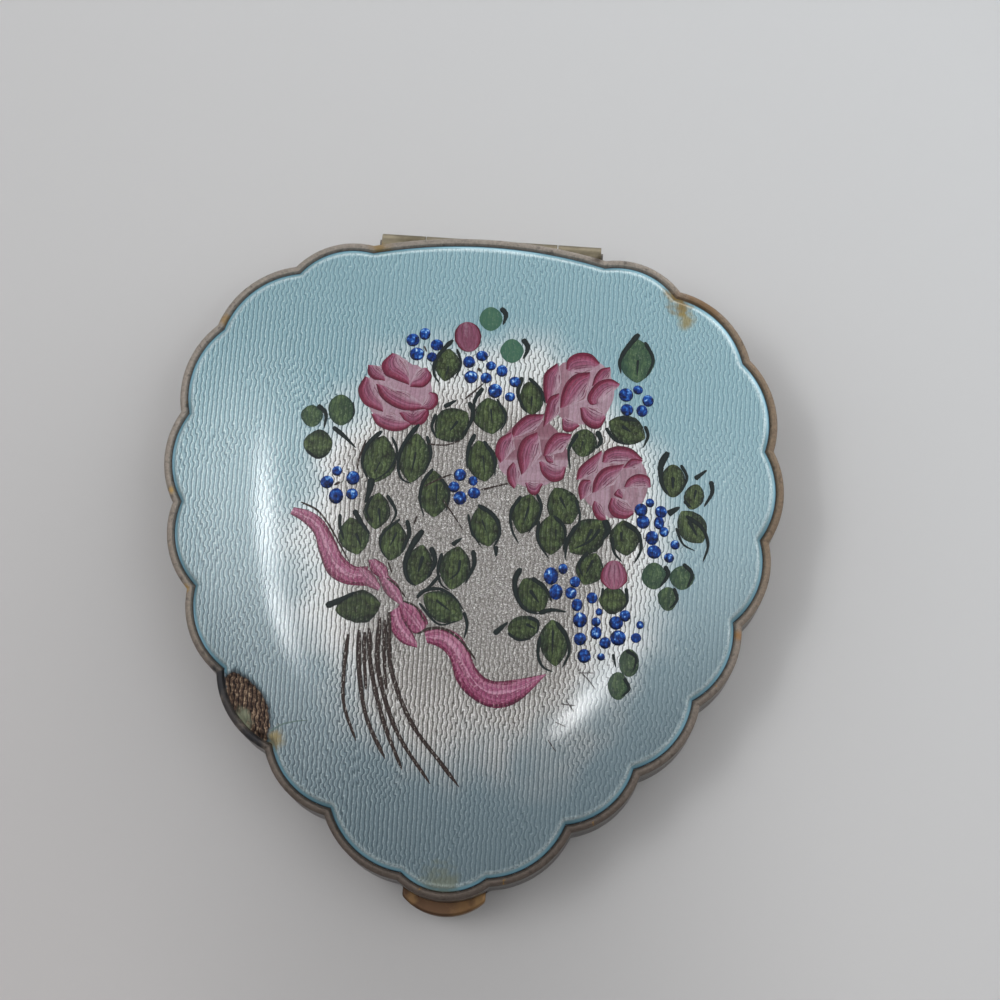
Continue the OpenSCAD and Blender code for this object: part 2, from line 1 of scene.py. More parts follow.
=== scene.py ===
# A scalloped powder compact lying closed: enamel over an engine-turned plate with a painted rose
# spray, a worn plated case, and inside it a mirror, a gilt tray, a powder well and its puff.
import bpy
import math
import random
import numpy as np
from mathutils import Matrix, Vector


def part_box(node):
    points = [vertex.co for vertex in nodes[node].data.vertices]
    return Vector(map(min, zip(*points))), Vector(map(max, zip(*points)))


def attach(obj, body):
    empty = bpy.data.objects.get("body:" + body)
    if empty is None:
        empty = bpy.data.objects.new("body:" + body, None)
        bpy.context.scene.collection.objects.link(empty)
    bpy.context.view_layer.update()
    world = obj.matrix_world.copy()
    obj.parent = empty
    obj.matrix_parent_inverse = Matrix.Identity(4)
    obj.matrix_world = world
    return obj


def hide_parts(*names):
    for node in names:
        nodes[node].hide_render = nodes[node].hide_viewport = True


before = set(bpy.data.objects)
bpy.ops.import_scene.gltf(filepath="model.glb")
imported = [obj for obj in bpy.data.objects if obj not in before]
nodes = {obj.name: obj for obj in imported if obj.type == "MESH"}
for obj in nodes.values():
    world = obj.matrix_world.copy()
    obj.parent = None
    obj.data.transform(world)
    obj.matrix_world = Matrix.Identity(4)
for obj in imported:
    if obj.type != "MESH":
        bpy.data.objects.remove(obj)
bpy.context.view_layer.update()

MM = 0.001

# Sizes of the case, in millimetres, the same as in the part's source
HALF_W, HALF_L = 30.2, 32.4
PLATE_INSET = 0.80          # the enamel's edge inside the outline
DOME_H, DOME_POWER = 4.3, 2.2
EDGE_LOW_Z, ENAMEL_T = 8.9, 0.35
EDGE_TURN, EDGE_TURN_W = 0.3, 0.55
# Where the lobes of one side meet, front to rear, as shares of half the width and of the length
CUSP_SHARES = [(0.146, -0.476), (0.391, -0.389), (0.596, -0.299), (0.771, -0.190), (0.889, -0.067),
               (0.960, 0.062), (0.960, 0.201), (0.867, 0.339), (0.628, 0.438), (0.380, 0.479)]
SIDE_BULGE, REAR_BULGE, FRONT_BULGE = 0.136, 0.060, 0.181    # a lobe's rise as a share of its chord
SWELL = (0.983, 0.0735, -0.0138)    # how the dome's plan departs from an ellipse
MID_Y = 0.088 * HALF_L
LINE_STEP, JOG_STEP = 0.45, 1.25    # spacing of the engraved lines, and of their jogs


def colour(text):
    """A hex colour, as seen on a screen, in Blender's linear values."""
    parts = [int(text[i:i + 2], 16) / 255 for i in (1, 3, 5)]
    return [p / 12.92 if p <= 0.04045 else ((p + 0.055) / 1.055) ** 2.4 for p in parts] + [1.0]


def add(tree, kind, inputs=None, **settings):
    """Adds a node with its settings. An input is a value, a socket, or a node, whose first output is used."""
    node = tree.nodes.new(kind)
    for key, value in settings.items():
        setattr(node, key, value)
    for key, value in (inputs or {}).items():
        if isinstance(value, bpy.types.Node):
            value = next(s for s in value.outputs if s.enabled)
        if isinstance(value, bpy.types.NodeSocket):
            tree.links.new(value, node.inputs[key])
        else:
            node.inputs[key].default_value = value
    return node


def ramp(node, stops):
    """Sets a colour ramp's stops: a place from 0 to 1 and a hex colour each."""
    band = node.color_ramp
    while len(band.elements) > 1:
        band.elements.remove(band.elements[-1])
    for i, (place, text) in enumerate(stops):
        stop = band.elements[0] if i == 0 else band.elements.new(place)
        stop.position = place
        stop.color = colour(text)
    return node


def start_material(name):
    """A new material and its empty tree."""
    material = bpy.data.materials.new(name)
    material.use_nodes = True
    material.node_tree.nodes.clear()
    return material, material.node_tree


def end_material(tree, shader):
    """Joins the shader to the material's output."""
    add(tree, "ShaderNodeOutputMaterial", {"Surface": shader})


def new_mesh(name, points, faces, values=None, smooth=True):
    """A mesh object from points in metres, with one number per point for each named attribute."""
    mesh = bpy.data.meshes.new(name)
    mesh.from_pydata([tuple(map(float, p)) for p in points], [], [tuple(map(int, f)) for f in faces])
    for key, numbers in (values or {}).items():
        mesh.attributes.new(key, "FLOAT", "POINT").data.foreach_set("value", np.asarray(numbers, np.float32))
    mesh.polygons.foreach_set("use_smooth", [smooth] * len(mesh.polygons))
    mesh.update()
    return in_scene(name, mesh)


def in_scene(name, data):
    """Puts a new object at the origin of the scene."""
    piece = bpy.data.objects.new(name, data)
    bpy.context.scene.collection.objects.link(piece)
    return piece


def new_tree(name, inputs):
    """A geometry tree with named inputs, with the mesh as the first, and those inputs' sockets."""
    tree = bpy.data.node_groups.new(name, "GeometryNodeTree")
    for label, kind in [("Geometry", "Geometry")] + inputs:
        tree.interface.new_socket(name=label, in_out="INPUT", socket_type="NodeSocket" + kind)
    tree.interface.new_socket(name="Geometry", in_out="OUTPUT", socket_type="NodeSocketGeometry")
    return tree, add(tree, "NodeGroupInput").outputs


def finish_piece(piece, material, body):
    """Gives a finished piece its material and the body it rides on."""
    piece.data.materials.clear()
    piece.data.materials.append(material)
    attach(piece, body)


# The camera, at the photograph's place: where it is and what it looks at, in millimetres
EYE = np.array([10.0, -45.0, 290.0])
AIM = np.array([2.518, 8.082, 0.0])
ROLL = math.radians(-4.0806)
FOCAL_PX, FRAME_PX, SENSOR = 2942.7, 1000, 36

view_z = (EYE - AIM) / np.linalg.norm(EYE - AIM)
view_x = np.cross([math.sin(ROLL), math.cos(ROLL), 0], view_z)
view_x /= np.linalg.norm(view_x)
view_y = np.cross(view_z, view_x)

camera = in_scene("camera", bpy.data.cameras.new("camera"))
bpy.context.scene.camera = camera
camera.data.sensor_width = SENSOR
camera.data.lens = SENSOR * FOCAL_PX / FRAME_PX
camera.data.clip_start = 0.01
turned = np.eye(4)
turned[:3, 0], turned[:3, 1], turned[:3, 2], turned[:3, 3] = view_x, view_y, view_z, EYE * MM
camera.matrix_world = Matrix(turned.tolist())


def crown_z(x, y):
    """Height of the enamel's dome over the plane of the case, away from its turned edge."""
    u, v = x / HALF_W, (y - MID_Y) / HALF_L
    turn = np.arctan2(v, u)
    reach = SWELL[0] + SWELL[1] * np.sin(3 * turn) + SWELL[2] * np.sin(5 * turn)
    share = np.hypot(u, v) / reach * HALF_W / (HALF_W - PLATE_INSET)
    return EDGE_LOW_Z + ENAMEL_T + EDGE_TURN + DOME_H * np.maximum(0, 1 - share ** DOME_POWER)


ABOUT_Z, TRIES = 12, 12      # where on_lid starts, and how often it corrects itself


def on_lid(u, v):
    """Where the camera's ray through a point of the picture meets the dome."""
    u, v = np.asarray(u, float), np.asarray(v, float)
    ray = ((u - FRAME_PX / 2)[..., None] * view_x - (v - FRAME_PX / 2)[..., None] * view_y) / FOCAL_PX - view_z
    t = (ABOUT_Z - EYE[2]) / ray[..., 2]
    for _ in range(TRIES):
        p = EYE + t[..., None] * ray
        t = t + (crown_z(p[..., 0], p[..., 1]) - p[..., 2]) / ray[..., 2]
    return (EYE + t[..., None] * ray)[..., :2]


def lobes():
    """Centre, radius and first cusp of each scallop, anticlockwise from the front's right-hand side."""
    right = [np.array([x * HALF_W, y * 2 * HALF_L]) for x, y in CUSP_SHARES]
    cusps = right + [np.array([-p[0], p[1]]) for p in reversed(right)]
    out = []
    for i, a in enumerate(cusps):
        b = cusps[(i + 1) % len(cusps)]
        chord = np.linalg.norm(b - a)
        bulge = REAR_BULGE if i == len(right) - 1 else FRONT_BULGE if i == len(cusps) - 1 else SIDE_BULGE
        outward = np.array([b[1] - a[1], a[0] - b[0]]) / chord
        r = chord * (0.25 + bulge ** 2) / (2 * bulge)
        out.append(((a + b) / 2 + outward * (chord * bulge - r), r, chord))
    return out


def scalloped_edge(inset, step):
    """Points along the scalloped outline drawn in by inset."""
    parts = lobes()
    count = len(parts)

    def meeting(i):
        (a, ra, _), (b, rb, _) = parts[i - 1], parts[i % count]
        ra, rb, d = ra - inset, rb - inset, np.linalg.norm(b - a)
        e, along = (b - a) / d, (d * d + ra * ra - rb * rb) / (2 * d)
        return a + along * e + math.sqrt(ra * ra - along * along) * np.array([e[1], -e[0]])

    points = []
    for i, (c, r, chord) in enumerate(parts):
        p, q = meeting(i) - c, meeting((i + 1) % count) - c
        a0 = math.atan2(p[1], p[0])
        sweep = (math.atan2(q[1], q[0]) - a0) % math.tau
        steps = math.ceil(chord / step)
        points += [c + (r - inset) * np.array([math.cos(a0 + sweep * k / steps), math.sin(a0 + sweep * k / steps)])
                   for k in range(steps)]
    return np.array(points)


def ease(x):
    """A smooth step from 0 to 1."""
    x = np.clip(x, 0, 1)
    return x * x * (3 - 2 * x)


def off_outline(points, outline):
    """Least distance of each point from a closed outline, and whether it lies inside it."""
    a, b = outline, np.roll(outline, -1, axis=0)
    best = np.full(len(points), 1e9)
    inside = np.zeros(len(points), bool)
    for p, q in zip(a, b):
        e = q - p
        t = np.clip(((points - p) @ e) / (e @ e), 0, 1)
        best = np.minimum(best, np.linalg.norm(points - p - t[:, None] * e, axis=1))
        if p[1] != q[1]:
            crosses = (p[1] > points[:, 1]) != (q[1] > points[:, 1])
            inside ^= crosses & (points[:, 0] < e[0] * (points[:, 1] - p[1]) / e[1] + p[0])
    return best, inside


# The chip at the lower left, in the picture's pixels
CHIP = [(224, 676), (235, 671), (249, 680), (261, 692), (268, 707), (270, 724), (266, 741), (256, 742),
        (244, 731), (234, 716), (227, 699)]
CHIP_DEPTH, CHIP_SLOPE = 0.24, 0.35
RING_STEP, EDGE_STEP = 0.36, 0.42


def make_enamel():
    """The enamel as one fine skin: rings of points from the scalloped edge in to the middle, over a plain
    underside. It keeps each point's distance from the edge and from the chip, for its material."""
    edge = scalloped_edge(PLATE_INSET, EDGE_STEP)
    middle = np.array([0, MID_Y])
    near = [0, 0.05, 0.12, 0.2, 0.3, 0.42, 0.55, 0.7, 0.9, 1.15]
    far = list(np.arange(near[-1] + RING_STEP, HALF_W - RING_STEP / 2, RING_STEP))
    shares = [1 - d / HALF_W for d in near + far]
    flat = np.concatenate([middle + (edge - middle) * s for s in shares] + [middle[None]])
    from_edge, _ = off_outline(flat, edge)
    from_chip, in_chip = off_outline(flat, on_lid(*np.array(CHIP, float).T))
    chip = np.where(in_chip, -from_chip, from_chip)
    turned = ease(from_edge / EDGE_TURN_W)
    flat_z = EDGE_LOW_Z + ENAMEL_T
    z = flat_z + turned * (crown_z(flat[:, 0], flat[:, 1]) - flat_z) - CHIP_DEPTH * ease(-chip / CHIP_SLOPE + 0.1)
    top = np.column_stack([flat, z])

    n, rings = len(edge), len(shares)
    faces = []
    for j in range(rings - 1):
        for k in range(n):
            a, b = j * n + k, j * n + (k + 1) % n
            faces.append((a, b, b + n, a + n))
    last = (rings - 1) * n
    faces += [(last + k, last + (k + 1) % n, rings * n) for k in range(n)]
    # the underside follows the dome in a few wide rings
    low_shares = [1, 0.97, 0.8, 0.6, 0.4, 0.2]
    low_flat = np.concatenate([middle + (edge - middle) * s for s in low_shares] + [middle[None]])
    low_edge = off_outline(low_flat, edge)[0]
    low_z = EDGE_LOW_Z + ease(low_edge / EDGE_TURN_W) * (crown_z(low_flat[:, 0], low_flat[:, 1]) - flat_z)
    start = len(top)
    for j in range(len(low_shares) - 1):
        for k in range(n):
            a, b = start + j * n + k, start + j * n + (k + 1) % n
            faces.append((a, a + n, b + n, b))
    last = start + (len(low_shares) - 1) * n
    faces += [(last + k, start + len(low_shares) * n, last + (k + 1) % n) for k in range(n)]
    faces += [(k, start + k, start + (k + 1) % n, (k + 1) % n) for k in range(n)]
    points = np.concatenate([top, np.column_stack([low_flat, low_z])]) * MM
    return new_mesh("enamel_skin", points, faces,
                    {"from_edge": np.concatenate([from_edge, low_edge]),
                     "chip": np.concatenate([chip, np.full(len(low_flat), 9.0)])})


PAINT_LIFT = 0.014          # thickness of the first coat of paint, in millimetres
COAT_LIFT = 0.003           # and of each coat over it


def smooth_line(points, count):
    """Points evenly along a smooth curve through the given ones."""
    p = np.array(points, float)
    if len(p) == 2:
        return p[0] + np.linspace(0, 1, count)[:, None] * (p[1] - p[0])
    ext = np.concatenate([[2 * p[0] - p[1]], p, [2 * p[-1] - p[-2]]])
    out = []
    for i in range(len(p) - 1):
        a, b, c, d = ext[i:i + 4]
        for t in np.linspace(0, 1, 12, endpoint=False):
            out.append(0.5 * ((2 * b) + (c - a) * t + (2 * a - 5 * b + 4 * c - d) * t * t
                              + (3 * b - a - 3 * c + d) * t ** 3))
    out = np.array(out + [p[-1]])
    run = np.concatenate([[0], np.cumsum(np.linalg.norm(np.diff(out, axis=0), axis=1))])
    at = np.linspace(0, run[-1], count)
    return np.column_stack([np.interp(at, run, out[:, k]) for k in range(2)])


def petal_sides(edge, toward, count):
    """The two sides of a petal's stroke: its loaded edge, and a smaller arc round the point it lies toward."""
    outer = smooth_line(edge, count)
    share = np.linspace(0, 1, count)
    fill = (0.2 + 0.6 * np.sin(math.pi * share) ** 0.5)[:, None]
    return outer, outer + (np.array(toward) - outer) * fill


class Brush:
    """Collects brush strokes, each a small crowned skin laid on the dome between two lines."""

    def __init__(self):
        self.points, self.faces = [], []
        self.values = {"across": [], "along": [], "tone": [], "seed": []}

    def lay(self, outer, inner, coat, tone=0.5, rows=9, crown=0.006, load=None):
        """Lays one stroke between two lines. coat says how many strokes lie under it, and tone how dark it is.
        load gives the colour's place across the stroke, 0 for its dark edge and 1 for its palest part."""
        outer, inner = np.asarray(outer), np.asarray(inner)
        count, start = len(outer), len(self.points)
        share = np.linspace(0, 1, rows)
        loaded = share if load is None else load(share)
        grid = outer[:, None] * (1 - share)[None, :, None] + inner[:, None] * share[None, :, None]
        flat = on_lid(grid[..., 0], grid[..., 1])
        lift = PAINT_LIFT + COAT_LIFT * coat + crown * 4 * share * (1 - share)
        z = crown_z(flat[..., 0], flat[..., 1]) + lift[None, :]
        run = np.concatenate([[0], np.cumsum(np.linalg.norm(np.diff(flat[:, rows // 2], axis=0), axis=1))])
        seed = random.random()
        self.points += [tuple(p) for p in np.concatenate([flat, z[..., None]], axis=2).reshape(-1, 3) * MM]
        self.values["across"] += list(np.tile(loaded, count))
        self.values["along"] += list(np.repeat(run, rows))
        self.values["tone"] += [tone] * (count * rows)
        self.values["seed"] += [seed] * (count * rows)
        middle = count // 2
        d1, d2 = flat[middle + 1, 0] - flat[middle, 0], flat[middle, -1] - flat[middle, 0]
        anticlockwise = d1[0] * d2[1] - d1[1] * d2[0] > 0
        for i in range(count - 1):
            for j in range(rows - 1):
                a, b = start + i * rows + j, start + (i + 1) * rows + j
                self.faces.append((a, b, b + 1, a + 1) if anticlockwise else (a, a + 1, b + 1, b))

    def petal(self, edge, toward, coat):
        """A side-loaded stroke: its loaded edge follows a line, its pale side lies toward a point."""
        outer, inner = petal_sides(edge, toward, 26)
        self.lay(outer, inner, coat, rows=11)

    def leaf(self, x, y, w, h, tilt, coat, tone, point, load=None):
        """A leaf or bud laid in one press of the brush, pointed as point says: 0.5 is a plain oval."""
        upright = h >= w
        half, wide = (h / 2, w / 2) if upright else (w / 2, h / 2)
        turn = math.radians(tilt + (90 if upright else 0))
        along = np.array([math.cos(turn), -math.sin(turn)])
        side = np.array([along[1], -along[0]])
        t = -np.cos(np.linspace(0, math.pi, 23))
        width = wide * np.maximum(1 - np.abs(t) ** 2.2, 0.0) ** point
        lean = random.uniform(-0.1, 0.1)
        ragged = np.array([random.uniform(-1, 1) for _ in t])
        width = width * (1 + lean * np.sin(3.1 * t + lean * 30) + 0.035 * ragged)
        line = np.array([x, y]) + t[:, None] * half * along
        self.lay(line - width[:, None] * side, line + width[:, None] * side, coat, tone, load=load)

    def band(self, one, other, coat, tone):
        """A fold of the painted ribbon, laid between its two sides."""
        self.lay(smooth_line(one, 40), smooth_line(other, 40), coat, tone, crown=0.012)

    def make(self, name):
        """All the strokes as one mesh."""
        return new_mesh(name, self.points, self.faces, self.values)


# Roses: the middle, width and height of the under-coat, then each petal's loaded edge and the point its
# pale side lies toward, from the outer petals to the heart. Places are the picture's pixels.
ROSES = [
    ((399, 393, 74, 70), [
        ([(368, 365), (368, 374), (375, 380), (385, 381)], (386, 364)),
        ([(392, 353), (382, 363), (384, 374), (393, 379), (409, 385)], (413, 357)),
        ([(427, 368), (432, 377), (424, 387), (410, 387)], (414, 366)),
        ([(365, 376), (358, 389), (363, 403), (374, 409), (383, 412)], (386, 386)),
        ([(411, 425), (423, 424), (429, 415), (428, 409)], (406, 406)),
        ([(371, 414), (377, 425), (391, 431), (404, 430), (411, 425)], (394, 408)),
        ([(399, 413), (408, 424), (419, 421), (427, 411)], (417, 404)),
        ([(376, 384), (380, 396), (392, 406), (408, 411), (426, 409)], (410, 387)),
        ([(421, 408), (431, 410), (438, 403), (437, 394), (430, 392)], (420, 399))]),
    ((581, 391, 74, 72), [
        ([(557, 363), (545, 373), (543, 388), (546, 404)], (568, 384)),
        ([(566, 369), (568, 359), (578, 353), (591, 354), (600, 363)], (583, 384)),
        ([(559, 393), (549, 398), (545, 412), (543, 427)], (564, 414)),
        ([(562, 419), (563, 430), (571, 432), (580, 426)], (570, 414)),
        ([(590, 372), (576, 374), (566, 383), (561, 396), (560, 408)], (592, 404)),
        ([(610, 367), (601, 369), (595, 376), (592, 386)], (614, 382)),
        ([(580, 408), (582, 420), (590, 428), (600, 428), (606, 418)], (600, 402)),
        ([(620, 384), (611, 379), (600, 381), (592, 388), (587, 398), (591, 405), (597, 403)], (612, 400))]),
    ((533, 453, 74, 76), [
        ([(544, 414), (527, 415), (514, 426), (511, 437)], (540, 436)),
        ([(511, 432), (499, 439), (495, 452), (500, 463)], (520, 450)),
        ([(513, 462), (507, 470), (508, 482), (514, 489)], (526, 472)),
        ([(525, 483), (529, 493), (537, 495), (543, 484)], (533, 478)),
        ([(537, 432), (523, 439), (517, 455), (521, 475)], (548, 456)),
        ([(572, 434), (556, 433), (546, 444), (543, 456)], (566, 456)),
        ([(539, 462), (542, 474), (552, 482), (563, 479), (566, 468)], (556, 456)),
        ([(544, 455), (547, 462), (553, 463)], (556, 454))]),
    ((614, 483, 76, 74), [
        ([(602, 462), (605, 451), (618, 446), (632, 449), (643, 459)], (621, 470)),
        ([(576, 480), (579, 468), (590, 458), (602, 450)], (600, 476)),
        ([(590, 480), (582, 480), (578, 488), (580, 500)], (597, 494)),
        ([(594, 501), (592, 509), (597, 519), (606, 521)], (606, 502)),
        ([(592, 493), (594, 480), (604, 468), (624, 464)], (618, 488)),
        ([(623, 468), (631, 459), (643, 460)], (637, 472)),
        ([(651, 487), (649, 477), (638, 474), (628, 479), (624, 487)], (641, 492)),
        ([(611, 498), (608, 508), (614, 517), (626, 519), (634, 514)], (630, 496)),
        ([(618, 489), (614, 495), (622, 499)], (628, 488))])]
# Buds: middle, width, height, tilt and tone
BUDS = [(468, 337, 26, 30, 10, 0.10), (614, 575, 26, 29, 0, 0.50)]

# Leaves: middle, width, height, tilt and tone (dark on the silver, lighter on the blue)
LEAVES = [
    (491, 319, 22, 24, 0, 0.95), (512, 351, 22, 24, 0, 0.95), (447, 365, 25, 33, -8, 0.35),
    (452, 425, 40, 34, 38, 0.40), (490, 416, 32, 37, 8, 0.42), (379, 459, 34, 48, -12, 0.42),
    (414, 458, 31, 50, -8, 0.38), (434, 494, 30, 47, 0, 0.40), (482, 461, 30, 42, 10, 0.42),
    (531, 398, 23, 33, 6, 0.32), (312, 416, 21, 22, 0, 0.62), (341, 410, 25, 31, 0, 0.60),
    (318, 444, 29, 27, 0, 0.52), (637, 361, 35, 44, 0, 0.70), (584, 443, 25, 28, -10, 0.42),
    (627, 430, 40, 28, -25, 0.42), (673, 481, 24, 33, 0, 0.48), (694, 497, 19, 26, -15, 0.48),
    (354, 536, 30, 38, 12, 0.40), (377, 511, 26, 37, -6, 0.42), (393, 541, 28, 40, -10, 0.40),
    (419, 565, 28, 41, -10, 0.38), (455, 568, 31, 44, -10, 0.44), (443, 607, 46, 29, -32, 0.42),
    (358, 607, 46, 32, 8, 0.10), (485, 526, 30, 42, 12, 0.46), (526, 514, 29, 41, -14, 0.42),
    (563, 506, 32, 40, 24, 0.42), (551, 535, 28, 40, 0, 0.42), (587, 537, 46, 33, 42, 0.40),
    (625, 538, 30, 36, 6, 0.42), (590, 569, 27, 34, -22, 0.42), (613, 600, 29, 28, 0, 0.50),
    (533, 595, 31, 38, 30, 0.42), (523, 628, 31, 24, 6, 0.48), (554, 643, 29, 47, 4, 0.44),
    (692, 527, 28, 38, 34, 0.52), (654, 576, 24, 27, 0, 0.66), (682, 578, 24, 24, 0, 0.66),
    (668, 599, 20, 24, 0, 0.62), (629, 663, 20, 28, 0, 0.60), (618, 686, 20, 28, 0, 0.62)]

# Leaves that fill fewer square pixels than this are round dabs
SMALL_LEAF, ROUND_DAB, POINTED = 800, 0.55, 0.8

# Dark brush lines round the leaves: points and greatest width
OUTLINES = [
    ([(501, 308), (506, 315), (503, 325)], 6), ([(523, 339), (528, 348), (523, 359)], 6),
    ([(453, 340), (443, 350), (435, 362), (434, 374), (440, 384)], 5), ([(457, 349), (461, 364), (455, 379)], 3),
    ([(444, 407), (457, 400)], 5), ([(436, 414), (432, 427), (437, 439)], 4),
    ([(469, 402), (473, 412), (470, 424), (462, 436)], 5), ([(483, 388), (475, 400), (473, 416)], 5),
    ([(497, 399), (506, 418), (500, 432)], 3), ([(382, 431), (368, 444), (362, 462), (368, 480)], 5),
    ([(392, 437), (397, 452), (389, 470), (372, 482)], 3), ([(372, 478), (369, 492), (365, 503)], 8),
    ([(419, 424), (404, 444), (398, 462), (401, 478), (412, 484)], 5), ([(427, 436), (431, 455), (424, 474)], 4),
    ([(433, 469), (423, 482), (420, 500), (424, 517)], 4), ([(439, 476), (449, 492), (446, 512)], 4),
    ([(475, 434), (468, 450), (467, 469)], 5), ([(484, 441), (494, 458), (495, 477)], 4),
    ([(522, 377), (518, 394), (526, 412)], 5), ([(529, 378), (541, 390), (545, 404)], 4),
    ([(318, 405), (326, 414), (324, 428)], 5), ([(333, 427), (344, 436), (356, 448)], 5),
    ([(353, 402), (354, 414), (348, 424)], 2), ([(306, 450), (318, 458), (330, 452)], 3),
    ([(639, 334), (628, 347), (620, 361), (621, 374)], 6), ([(645, 342), (653, 360), (646, 378)], 4),
    ([(578, 434), (569, 449), (570, 469)], 4), ([(597, 431), (601, 441), (596, 449)], 6),
    ([(620, 418), (638, 421)], 5), ([(606, 428), (615, 440), (628, 445)], 4), ([(645, 426), (648, 436), (643, 448)], 4),
    ([(668, 452), (661, 466), (662, 484), (669, 495)], 7), ([(681, 465), (687, 478), (681, 492)], 4),
    ([(695, 479), (707, 470)], 5), ([(711, 481), (712, 493), (704, 507)], 5), ([(684, 501), (692, 508)], 4),
    ([(340, 514), (340, 527), (344, 540)], 4), ([(354, 510), (361, 522), (370, 534)], 6),
    ([(387, 495), (396, 512), (390, 525)], 4), ([(372, 496), (366, 510), (372, 522)], 3),
    ([(407, 520), (409, 535), (401, 552)], 5), ([(400, 519), (383, 534), (381, 549), (388, 560)], 3),
    ([(423, 530), (412, 546), (405, 564), (408, 580), (416, 586)], 7), ([(431, 547), (435, 562), (427, 578)], 6),
    ([(442, 553), (438, 570), (441, 584), (450, 591)], 4), ([(473, 550), (474, 565), (465, 584)], 5),
    ([(452, 545), (462, 538)], 5), ([(440, 575), (428, 588), (416, 596)], 4),
    ([(417, 598), (424, 591), (440, 589), (455, 598), (464, 611)], 4), ([(464, 612), (467, 625), (464, 639)], 4),
    ([(419, 603), (438, 624), (458, 621)], 3), ([(326, 606), (340, 600), (355, 592)], 7),
    ([(478, 505), (494, 516), (500, 533), (493, 548)], 5), ([(468, 514), (472, 532), (482, 548)], 3),
    ([(496, 546), (496, 557)], 5), ([(521, 496), (511, 512), (512, 530), (519, 544)], 4),
    ([(537, 494), (541, 510), (528, 534)], 4), ([(554, 516), (565, 529), (563, 552)], 4),
    ([(539, 521), (538, 540), (549, 559)], 4), ([(576, 500), (580, 518), (572, 534)], 3),
    ([(600, 529), (590, 541), (574, 549)], 4), ([(576, 526), (567, 542), (565, 560)], 5),
    ([(604, 520), (608, 530), (602, 541)], 8), ([(625, 523), (638, 533), (641, 549), (634, 564)], 5),
    ([(612, 537), (614, 552), (622, 562)], 4), ([(588, 552), (579, 564), (583, 577)], 4),
    ([(521, 568), (515, 580), (517, 597), (526, 610), (540, 614)], 6), ([(532, 578), (545, 588), (552, 602)], 5),
    ([(539, 613), (552, 610), (567, 612)], 5), ([(494, 634), (508, 622)], 6), ([(528, 617), (538, 622), (537, 634)], 4),
    ([(508, 633), (518, 640), (531, 639)], 3), ([(540, 636), (538, 655), (543, 667), (553, 672)], 4),
    ([(556, 622), (567, 638), (569, 653), (562, 668)], 5), ([(686, 516), (702, 528), (708, 545), (703, 562)], 5),
    ([(676, 528), (683, 544), (695, 551)], 3), ([(668, 514), (680, 507)], 7),
    ([(665, 566), (668, 575), (660, 587)], 5), ([(683, 564), (692, 574), (687, 588)], 5),
    ([(674, 588), (677, 600), (669, 609)], 4), ([(626, 650), (636, 658), (633, 672)], 4),
    ([(624, 678), (629, 689), (621, 697)], 4), ([(613, 654), (616, 668)], 3),
    ([(603, 588), (601, 600)], 3), ([(626, 588), (627, 602), (620, 612)], 4)]

# Fine lines up the middle of the leaves
VEINS = [
    ([(449, 366), (445, 379)], 2), ([(458, 421), (450, 431)], 3), ([(491, 409), (492, 424)], 2),
    ([(380, 462), (374, 474)], 2), ([(416, 452), (411, 474)], 2), ([(437, 484), (436, 508)], 2),
    ([(483, 455), (485, 474)], 2), ([(532, 396), (531, 407)], 2), ([(638, 360), (637, 376)], 3),
    ([(583, 441), (581, 449)], 2), ([(622, 426), (631, 432)], 4), ([(673, 477), (673, 489)], 4),
    ([(696, 490), (694, 500)], 3), ([(356, 533), (361, 546)], 3), ([(379, 508), (380, 524)], 3),
    ([(397, 532), (390, 546)], 3), ([(423, 556), (418, 572)], 4), ([(460, 560), (458, 572), (449, 580)], 3),
    ([(436, 600), (450, 611)], 3), ([(482, 520), (487, 533)], 2), ([(529, 506), (524, 522)], 3),
    ([(560, 497), (566, 509)], 3), ([(556, 529), (556, 540)], 2), ([(592, 529), (585, 543)], 4),
    ([(621, 532), (622, 542)], 3), ([(593, 560), (586, 574)], 3), ([(530, 590), (539, 603)], 4),
    ([(526, 624), (536, 629)], 3), ([(553, 630), (552, 656)], 3), ([(689, 521), (697, 536)], 4)]

# Forget-me-nots: one dot a petal, with the dot's radius
DOTS = [
    (413, 340, 7), (425, 334, 6), (437, 345, 6), (417, 354, 7), (432, 357, 5), (469, 362, 6), (482, 356, 6),
    (491, 366, 5), (502, 371, 6), (471, 377, 7), (486, 378, 6), (515, 382, 6), (495, 391, 7), (510, 397, 5),
    (337, 471, 5), (327, 482, 7), (353, 478, 7), (336, 496, 8), (352, 494, 6), (460, 475, 6), (454, 487, 6),
    (473, 481, 5), (460, 498, 7), (474, 493, 6), (626, 395, 7), (638, 390, 5), (648, 401, 6), (627, 410, 6),
    (642, 411, 6), (641, 510, 7), (650, 503, 5), (661, 512, 6), (643, 522, 7), (659, 523, 6), (652, 538, 7),
    (664, 532, 5), (654, 552, 7), (675, 545, 5), (669, 558, 5), (551, 576, 8), (563, 569, 5), (575, 582, 5),
    (556, 592, 7), (571, 593, 6), (577, 605, 6), (592, 598, 6), (580, 620, 8), (599, 612, 4), (596, 622, 5),
    (580, 639, 7), (596, 633, 6), (616, 623, 7), (625, 616, 6), (618, 638, 8), (640, 625, 4), (636, 638, 5),
    (605, 643, 6), (584, 656, 7), (601, 657, 4)]

